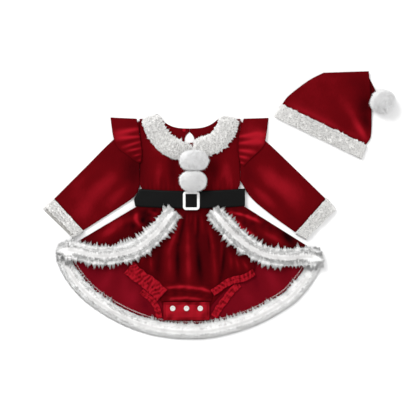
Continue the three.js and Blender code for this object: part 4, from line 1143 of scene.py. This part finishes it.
def buckle():
    """A rounded frame: a squared section, its angle's cosine and sine to the power 0.6, carried round a
    rectangle with quarter circles for corners."""
    spec = BUCKLE
    w, h, r = (spec["width"] - spec["bar"]) / 2, (spec["height"] - spec["bar"]) / 2, spec["corner"]
    corners = []
    for cx, cy, start in ((w - r, h - r, 0), (r - w, h - r, 90), (r - w, r - h, 180), (w - r, r - h, 270)):
        a = np.radians(start + np.linspace(0, 90, 9))
        corners.append(np.stack([cx + r * np.cos(a), cy + r * np.sin(a), np.cos(a), np.sin(a)], -1))
    path = np.concatenate(corners)
    t = np.arange(20) * 2 * math.pi / 20
    across = bend(np.cos(t), 0.6) * spec["bar"] / 2
    rise = bend(np.sin(t), 0.6) * spec["thick"] / 2
    x = spec["x"] + path[:, None, 0] + path[:, None, 2] * across
    y = spec["y"] + path[:, None, 1] + path[:, None, 3] * across
    z = BELT["deck"] + BELT["wall"] + 0.4 + spec["thick"] / 2 + rise + 0 * x
    points = np.stack([x, y, z], -1)
    n, m = points.shape[:2]
    i, j = np.meshgrid(np.arange(n), np.arange(m), indexing="ij")
    p, q = (i + 1) % n, (j + 1) % m
    faces = np.stack([i * m + j, p * m + j, p * m + q, i * m + q], -1).reshape(-1, 4)
    points = points.reshape(-1, 3)
    obj = new_object("moulded_buckle", points, outward(points, faces), ROMPER)
    dress(obj, "buckle", BUCKLE_FINISH)


# Overskirt
def overskirt():
    """The back spans from the waist to a line 14 mm inside the middle of the hem's fur, with ripples 50 mm
    long. Each front spans from the waist to 4 mm past the middle of its own fur, along the first 0.87 of it,
    and over the last quarter it turns to the side's corner. Ripples of 13 mm crumple it below the belt."""
    tuck, past, share_of_fur = 14, 4, 0.87
    hem = Line(HEM_FUR_LINE)
    u, v = grid(110, 70)
    t = mix(0.035, 0.972, u)
    px, py = hem.at(t)
    hx, hy = hem.heading(t)
    x = mix(mix(SKIRT_WAIST[0], SKIRT_WAIST[1], u), px - hy * tuck, v)
    y = mix(-WAIST, py + hx * tuck, v)
    ridge = back_folds(x, y)
    top = back_top(x, y) + 0.25 * ripple(x, y, 50, 12) * smooth(-60, -120, y)
    cut = (560, 245, 0.093)
    # Painted light and shade: lighter on the folds' crests, darker between them
    cloth("overskirt_back", x, y, belt_rise(y), top, 0.3 * ridge - 0.5, finish=INSIDE)
    overlock(hem)
    for side, rows, name, waist in (
        (-1, LEFT_FUR_LINE, "overskirt_front_left", SKIRT_OPEN[0]),
        (1, RIGHT_FUR_LINE, "overskirt_front_right", SKIRT_OPEN[1]),
    ):
        edge = Line(rows)
        u, v = grid(70, 56)
        px, py = edge.at(u * share_of_fur)
        hx, hy = edge.heading(u * share_of_fur)
        outer = SKIRT_WAIST[0] if side < 0 else SKIRT_WAIST[1]
        corner = LEFT_CORNER if side < 0 else RIGHT_CORNER
        turned = smooth(0.75, 1, u)
        x = mix(mix(waist, outer, u**0.8), mix(px + side * hy * past, corner[0], turned), v)
        y = mix(-WAIST, mix(py - side * hx * past, corner[1], turned), v)
        ridge = skirt_front_folds(x, y)
        crumple = 0.8 * ripple(x, y, 13, 15) * smooth(-90, -18, y) * smooth(-8, -18, y)
        top = skirt_front_top(x, y) + 0.25 * ripple(x, y, 36, 14) + np.maximum(crumple, -0.3)
        # Painted light and shade: lighter on the folds' and crumples' crests, darker between them
        painted_relief_light, cut = ridge - 1.5 + 1.1 * crumple, (205, 125, 0.0115)
        cloth(name, x, y, skirt_front_under(x, y), top, painted_relief_light)


def overlock(hem):
    """The white overlock seam that shows along the hem's inner edge: a zigzag of thread, 2.6 mm a stitch,
    that runs 17 to 20.2 mm in from the middle of the fur."""
    count = int(hem.length / 2.6)
    t = np.linspace(0.06, 0.945, count)
    px, py = hem.at(t)
    hx, hy = hem.heading(t)
    odd = np.arange(count) % 2 * 2 - 1
    inset = 18.6 - 1.6 * odd
    x, y = px - hy * inset, py + hx * inset
    z = back_top(x, y) + 0.25
    stitches("hem_overlock", x, y, z, hx - hy * odd * 0.9, hy + hx * odd * 0.9, THREAD, long=3.8, radius=0.55)


def fur():
    """The hem's run of fur lies on the floor, and the two front runs on the overskirt's fronts."""

    def on_front(x, y):
        """Top of the fronts and 1.4 mm, and 3.2 mm more where a run crosses the hem's."""
        return skirt_front_top(x, y) + 2.3 * LAYER_GAP + 3.2 * smooth(200, 226, abs(x))

    fur_trim("fur_hem", HEM_FUR_LINE, HEM_FUR, lambda x, y: 0 * x, 51)
    fur_trim("fur_front_left", LEFT_FUR_LINE, FRONT_FUR, on_front, 61)
    fur_trim("fur_front_right", RIGHT_FUR_LINE, {**FRONT_FUR, "join": -1}, on_front, 71)


# Bloomers
def leg_edge(x):
    """The front panel's lower edge at x: both leg openings and the crotch between them."""
    right = np.interp(x, [p[0] for p in RIGHT_LEG[::-1]], [p[1] for p in RIGHT_LEG[::-1]])
    left = np.interp(x, [p[0] for p in LEFT_LEG], [p[1] for p in LEFT_LEG])
    return np.where(x < LEFT_LEG[-1][0], left, np.where(x > RIGHT_LEG[-1][0], right, -199))


def bloomers():
    """The front runs from the waist down to the leg edge and widens on the way. Its top is its underside,
    one cloth, 0.4 of its folds, ripples 22 mm long and, at the crotch, finer wrinkles across. The back runs
    down to the tab's lower edge and narrows past the legs, by an S curve to the power 0.7."""
    u, v = grid(120, 70)
    low = mix(-112.0, 131.0, u)
    y = mix(-WAIST, leg_edge(low), v**0.8)
    t = np.clip(y / -112, 0, 1)
    wide = np.where(low < 0, mix(-88, -112, t) / -112, mix(91, 131, t) / 131)
    x = low * wide
    ridge = bloomer_folds(x, y)
    under = bloomers_under(x, y)
    wrinkle = 0.7 * ripple(x, 3 * y, 20, 17) * smooth(-150, -178, y)
    top = under + CLOTH + 0.4 * ridge + 0.3 * ripple(x, y, 22, 16) + wrinkle
    # Painted light and shade: lighter on the crests of the gathers, wrinkles and crotch folds, darker in the
    # valleys
    painted_relief_light = 0.5 * ridge - 1.3 + wrinkle + 0.4 * folds(CROTCH_FOLDS, x, y)
    cloth("bloomers_front", x, y, under, top, painted_relief_light)
    u, v = grid(40, 60)
    y = mix(-WAIST, TAB["bottom"], v)
    half = mix(91, 118, np.clip(y / -120, 0, 1))
    legs = smooth(-128, -232, y) ** 0.7
    x = mix(mix(6 - half, TAB["left"] + 6, legs), mix(half + 4, TAB["right"] - 6, legs), u)
    under = bloomers_back_under(y)
    # The back is painted darker, at -1: painted shade under the front and inside the legs
    cloth("bloomers_back", x, y, under, under + CLOTH, -1)


def leg_bands():
    """Casings of elastic along the leg openings: strips with a frilled edge, thick by their gathers, which
    are slanted ripples of 8 and 5.5 mm, less a Gaussian channel along the elastic's stitching."""
    for k, (name, (width, waves, front, rows)) in enumerate(LEG_BANDS.items()):
        line = Line(rows)
        u, v = grid(14, waves * 13)
        along = v * line.length
        frill = 1 + 0.16 * ripple(along, 30 * np.sign(u - 0.5), 13, 60 + k)
        x, y = strip(line, 0.5 + (u - 0.5) * frill, v, width)
        slant = along + 0.8 * width * (u - 0.5) * ripple(along, 0 * u, 26, 68 + k, 3)
        crush = 0.9 * ripple(slant, 0.35 * width * u, 8, 64 + k, 5) + 0.6 * ripple(x, y, 5.5, 74 + k)
        gather = np.clip(0.5 + crush, 0, 1)
        on_bloomers = bloomers_under(x, y) + CLOTH + 0.4 * bloomer_folds(x, y)
        base = on_bloomers if front else back_top(x, y) + 0.2
        under = base + LAYER_GAP + 0.7 * gather
        thick = CLOTH + (2.2 if front else 1.4) * gather * mix(0.5, 1, np.sin(math.pi * u))
        channel = 0.8 * np.exp(-(((u - 0.45) / 0.06) ** 2))
        top = under + np.maximum(thick - channel, 0.7)
        # Painted light and shade: lighter on the gathers, darker in the stitched channel
        painted_relief_light, cut = 2.0 * gather + 0.1 - channel, (width * 1.3, line.length * 1.2)
        cloth(name, x, y, under, top, painted_relief_light)


def crotch():
    """The tab is a rectangle. Its top falls by an exponential of the distance inside its edges, and by a
    Gaussian groove 4.5 mm inside them, its stitching. The three snaps stand on it in a row."""
    u, v = grid(60, 30)
    x, y = mix(TAB["left"], TAB["right"], u), mix(TAB["top"], TAB["bottom"], v)
    y = y - 0.8 * ripple(x, 0, 60, 23) * v
    base = 2 * (CLOTH + LAYER_GAP) + CLOTH
    under = np.full(x.shape, base)
    beside = np.minimum(x - TAB["left"], TAB["right"] - x)
    inside = np.minimum(beside, np.minimum(TAB["top"] - y, y - TAB["bottom"]))
    uneven = ripple(x, y, 24, 24)
    top = under + TAB["thick"] - 1.2 * np.exp(-np.maximum(inside, 0) / 1.6) + 0.3 * uneven
    top = top - 0.7 * np.exp(-(((inside - 4.5) / 1.0) ** 2))
    # Painted light and shade: lighter on the bumps, darker within 5.5 mm of the edges and along the stitched
    # groove
    painted_relief_light = 1.2 + 1.6 * uneven - 0.8 * (inside < 5.5)
    cloth("crotch_tab", x, y, under, top, painted_relief_light)
    for k in range(3):
        across = SNAP["middle"] + (k - 1) * SNAP["pitch"]
        snap(f"snap_{k + 1}", across, SNAP["y"], base + TAB["thick"] + 0.2)


def snap(name, x0, y0, z0):
    """A ring snap, turned: a raised ring round a dimple, by rows of shares of its radius and height."""
    rows = [
        (0.02, 0), (0.9, 0), (1, 0.12), (1, 0.5), (0.93, 0.82), (0.8, 1), (0.62, 1), (0.5, 0.7),
        (0.42, 0.3), (0.34, 0.2), (0.2, 0.3), (0.02, 0.32),
    ]
    obj = lathe("pressed_" + name, np.array(rows) * [SNAP["radius"], SNAP["height"]], x0, y0, z0)
    dress(obj, name, SNAP_FINISH)


def button():
    """The covered button at the keyhole's top, turned, and its thread loop from the other half: stitches
    head to tail round an ellipse of half axes wide and tall, with its centre off to one side."""
    x0, y0, z0 = -10.6, 143.2, CLOTH + 0.3
    rows = [(0.02, 0), (2.9, 0), (3.4, 0.5), (3.2, 1.3), (2.2, 1.9), (0.02, 2.1)]
    obj = lathe("covered_button", rows, x0, y0, z0)
    # The button is painted lighter, at 0.75, than the flat cloth's 0.5 on the painted light and shade scale
    paint(obj, "painted_light", 0.75)
    dress(obj, None, FACE)
    wide, tall, off = 6.5, 3.6, 5.5
    a = np.linspace(0.15, 1.85, 16) * math.pi
    x, y = x0 + off + wide * np.cos(a), y0 + tall * np.sin(a)
    hx, hy = -wide * np.sin(a), tall * np.cos(a)
    stitches("neck_loop", x, y, z0 + 0.3 + 0 * x, hx, hy, RED_THREAD, long=2.4, radius=0.35)


# Hat
def hat():
    """The crown's two layers. The front one is lofted by 2.6 mm over its middle, less by the cube of the
    distance across, and has the folds. The tail, a flat strip, lies folded under them and runs out to the
    pompom. The brim is a flattened tube of pile that narrows from 95 to 92.6 mm each side."""
    left, right = Line(HAT_LEFT), Line(HAT_RIGHT)

    def crown(u, v):
        """Plan points in straight lines between the crown's two edges."""
        ax, ay = left.at(v)
        bx, by = right.at(v)
        return mix(ax, bx, u), mix(ay, by, u)

    def back_under(v):
        """Underside of the crown's back, which climbs 3.4 mm over the tail."""
        return 3.4 * smooth(0.15, 0.6, v)

    u, v = grid(60, 54)
    x, y = crown(u, v)
    edge = 1 - abs(2 * u - 1) ** 3
    under = back_under(v) + CLOTH + LAYER_GAP + 2.6 * edge * smooth(1.05, 0.6, v)
    ridge = folds(HAT_FOLDS, x, y)
    top = under + CLOTH + ridge + 0.3 * ripple(x, y, 40, 26)
    # Painted light and shade: lighter on the folds' crests, darker between them
    cloth("hat_front", x, y, under, top, 0.3 * ridge - 0.3, HAT_AT)
    u, v = grid(30, 40)
    x, y = crown(u, v)
    # The back is painted darker, at -1: painted shade under the front
    cloth("hat_back", x, y, back_under(v), back_under(v) + CLOTH, -1, HAT_AT)
    u, v = grid(16, 30)
    x = mix(mix(-22, 36, u), mix(71.6, 72.2, u), v)
    y = mix(mix(126, 157, u), mix(113, 129, u), v)
    # The tail is painted darker, at -1: painted shade under the crown
    cloth("hat_tail", x, y, 0 * x, mix(2.2, 2.6, v), -1, HAT_AT)
    obj, ring = flat_tube(
        "curly_hat_brim",
        lambda v: (-mix(95, 92.6, v), mix(0, 29, v)), lambda v: (mix(95, 92.6, v), mix(0, 29, v)),
        18, 8.4, PILE_WALL, lambda x, y: 0.5 * ripple(x, y, 7, 27, 12), garment=HAT_AT, around=120,
    )
    # The backing between the curls is painted grey: painted shade between them
    paint(obj, "reach", 0.3)
    dress(obj, "hat_brim", CURLS)
    half = ring[: len(ring) // 2 + 1]
    comb_core(obj)
    curly("hat_brim_curls", half, 13000, 43, HAT_AT, ragged=0.2)
    ball("hat_pompom", HAT_POMPOM, HAT_POMPOM["rz"], 91, HAT_AT)


def pompoms():
    """Each chest pompom rests 0.4 mm over the bodice's top at its middle."""
    for k, (name, spec) in enumerate(POMPOMS.items()):
        centre = float(bodice_top(np.array(spec["x"]), np.array(spec["y"]))) + 0.4 + spec["rz"]
        ball(name, spec, centre, 81 + k)


# Studio
def studio():
    """The camera looks straight down on a white floor. A large soft key light from the upper left and a
    weaker fill from the lower right aim at the middle, and a white room lights it evenly."""
    camera = bpy.data.objects.new("camera", bpy.data.cameras.new("camera"))
    bpy.context.scene.collection.objects.link(camera)
    camera.location = CAMERA_AT
    camera.data.lens = LENS
    camera.data.clip_end = 20
    bpy.context.scene.camera = camera
    mesh = bpy.data.meshes.new("floor")
    mesh.from_pydata([(-4, -4, -0.001), (4, -4, -0.001), (4, 4, -0.001), (-4, 4, -0.001)], [], [(0, 1, 2, 3)])
    floor = bpy.data.objects.new("floor", mesh)
    bpy.context.scene.collection.objects.link(floor)
    material, tree = new_material("white_sweep")
    shader = node(tree, "ShaderNodeBsdfPrincipled", Base_Color=(0.93, 0.93, 0.93, 1), Roughness=0.95)
    node(tree, "ShaderNodeOutputMaterial", Surface=shader.outputs["BSDF"])
    mesh.materials.append(material)
    for name, place, size, power in (
        ("key", (-1.3, 1.5, 2.2), 1.4, 62),
        ("fill", (1.6, -0.6, 2.4), 2.0, 22),
    ):
        light = bpy.data.objects.new(name, bpy.data.lights.new(name, "AREA"))
        light.data.size = size
        light.data.energy = power
        light.location = place
        direction = -np.array(place)
        light.rotation_mode = "QUATERNION"
        light.rotation_quaternion = Vector(direction).to_track_quat("-Z", "Y")
        bpy.context.scene.collection.objects.link(light)
    world = bpy.data.worlds.new("white_room")
    world.use_nodes = True
    world.node_tree.nodes["Background"].inputs["Color"].default_value = (1, 1, 1, 1)
    world.node_tree.nodes["Background"].inputs["Strength"].default_value = 0.75
    bpy.context.scene.world = world
    bpy.context.scene.view_settings.view_transform = "Standard"
    bpy.context.scene.view_settings.exposure = 0.0


studio()
bodice()
collars()
ruffles()
sleeves()
belt()
buckle()
overskirt()
bloomers()
leg_bands()
crotch()
button()
hat()
fur()
pompoms()
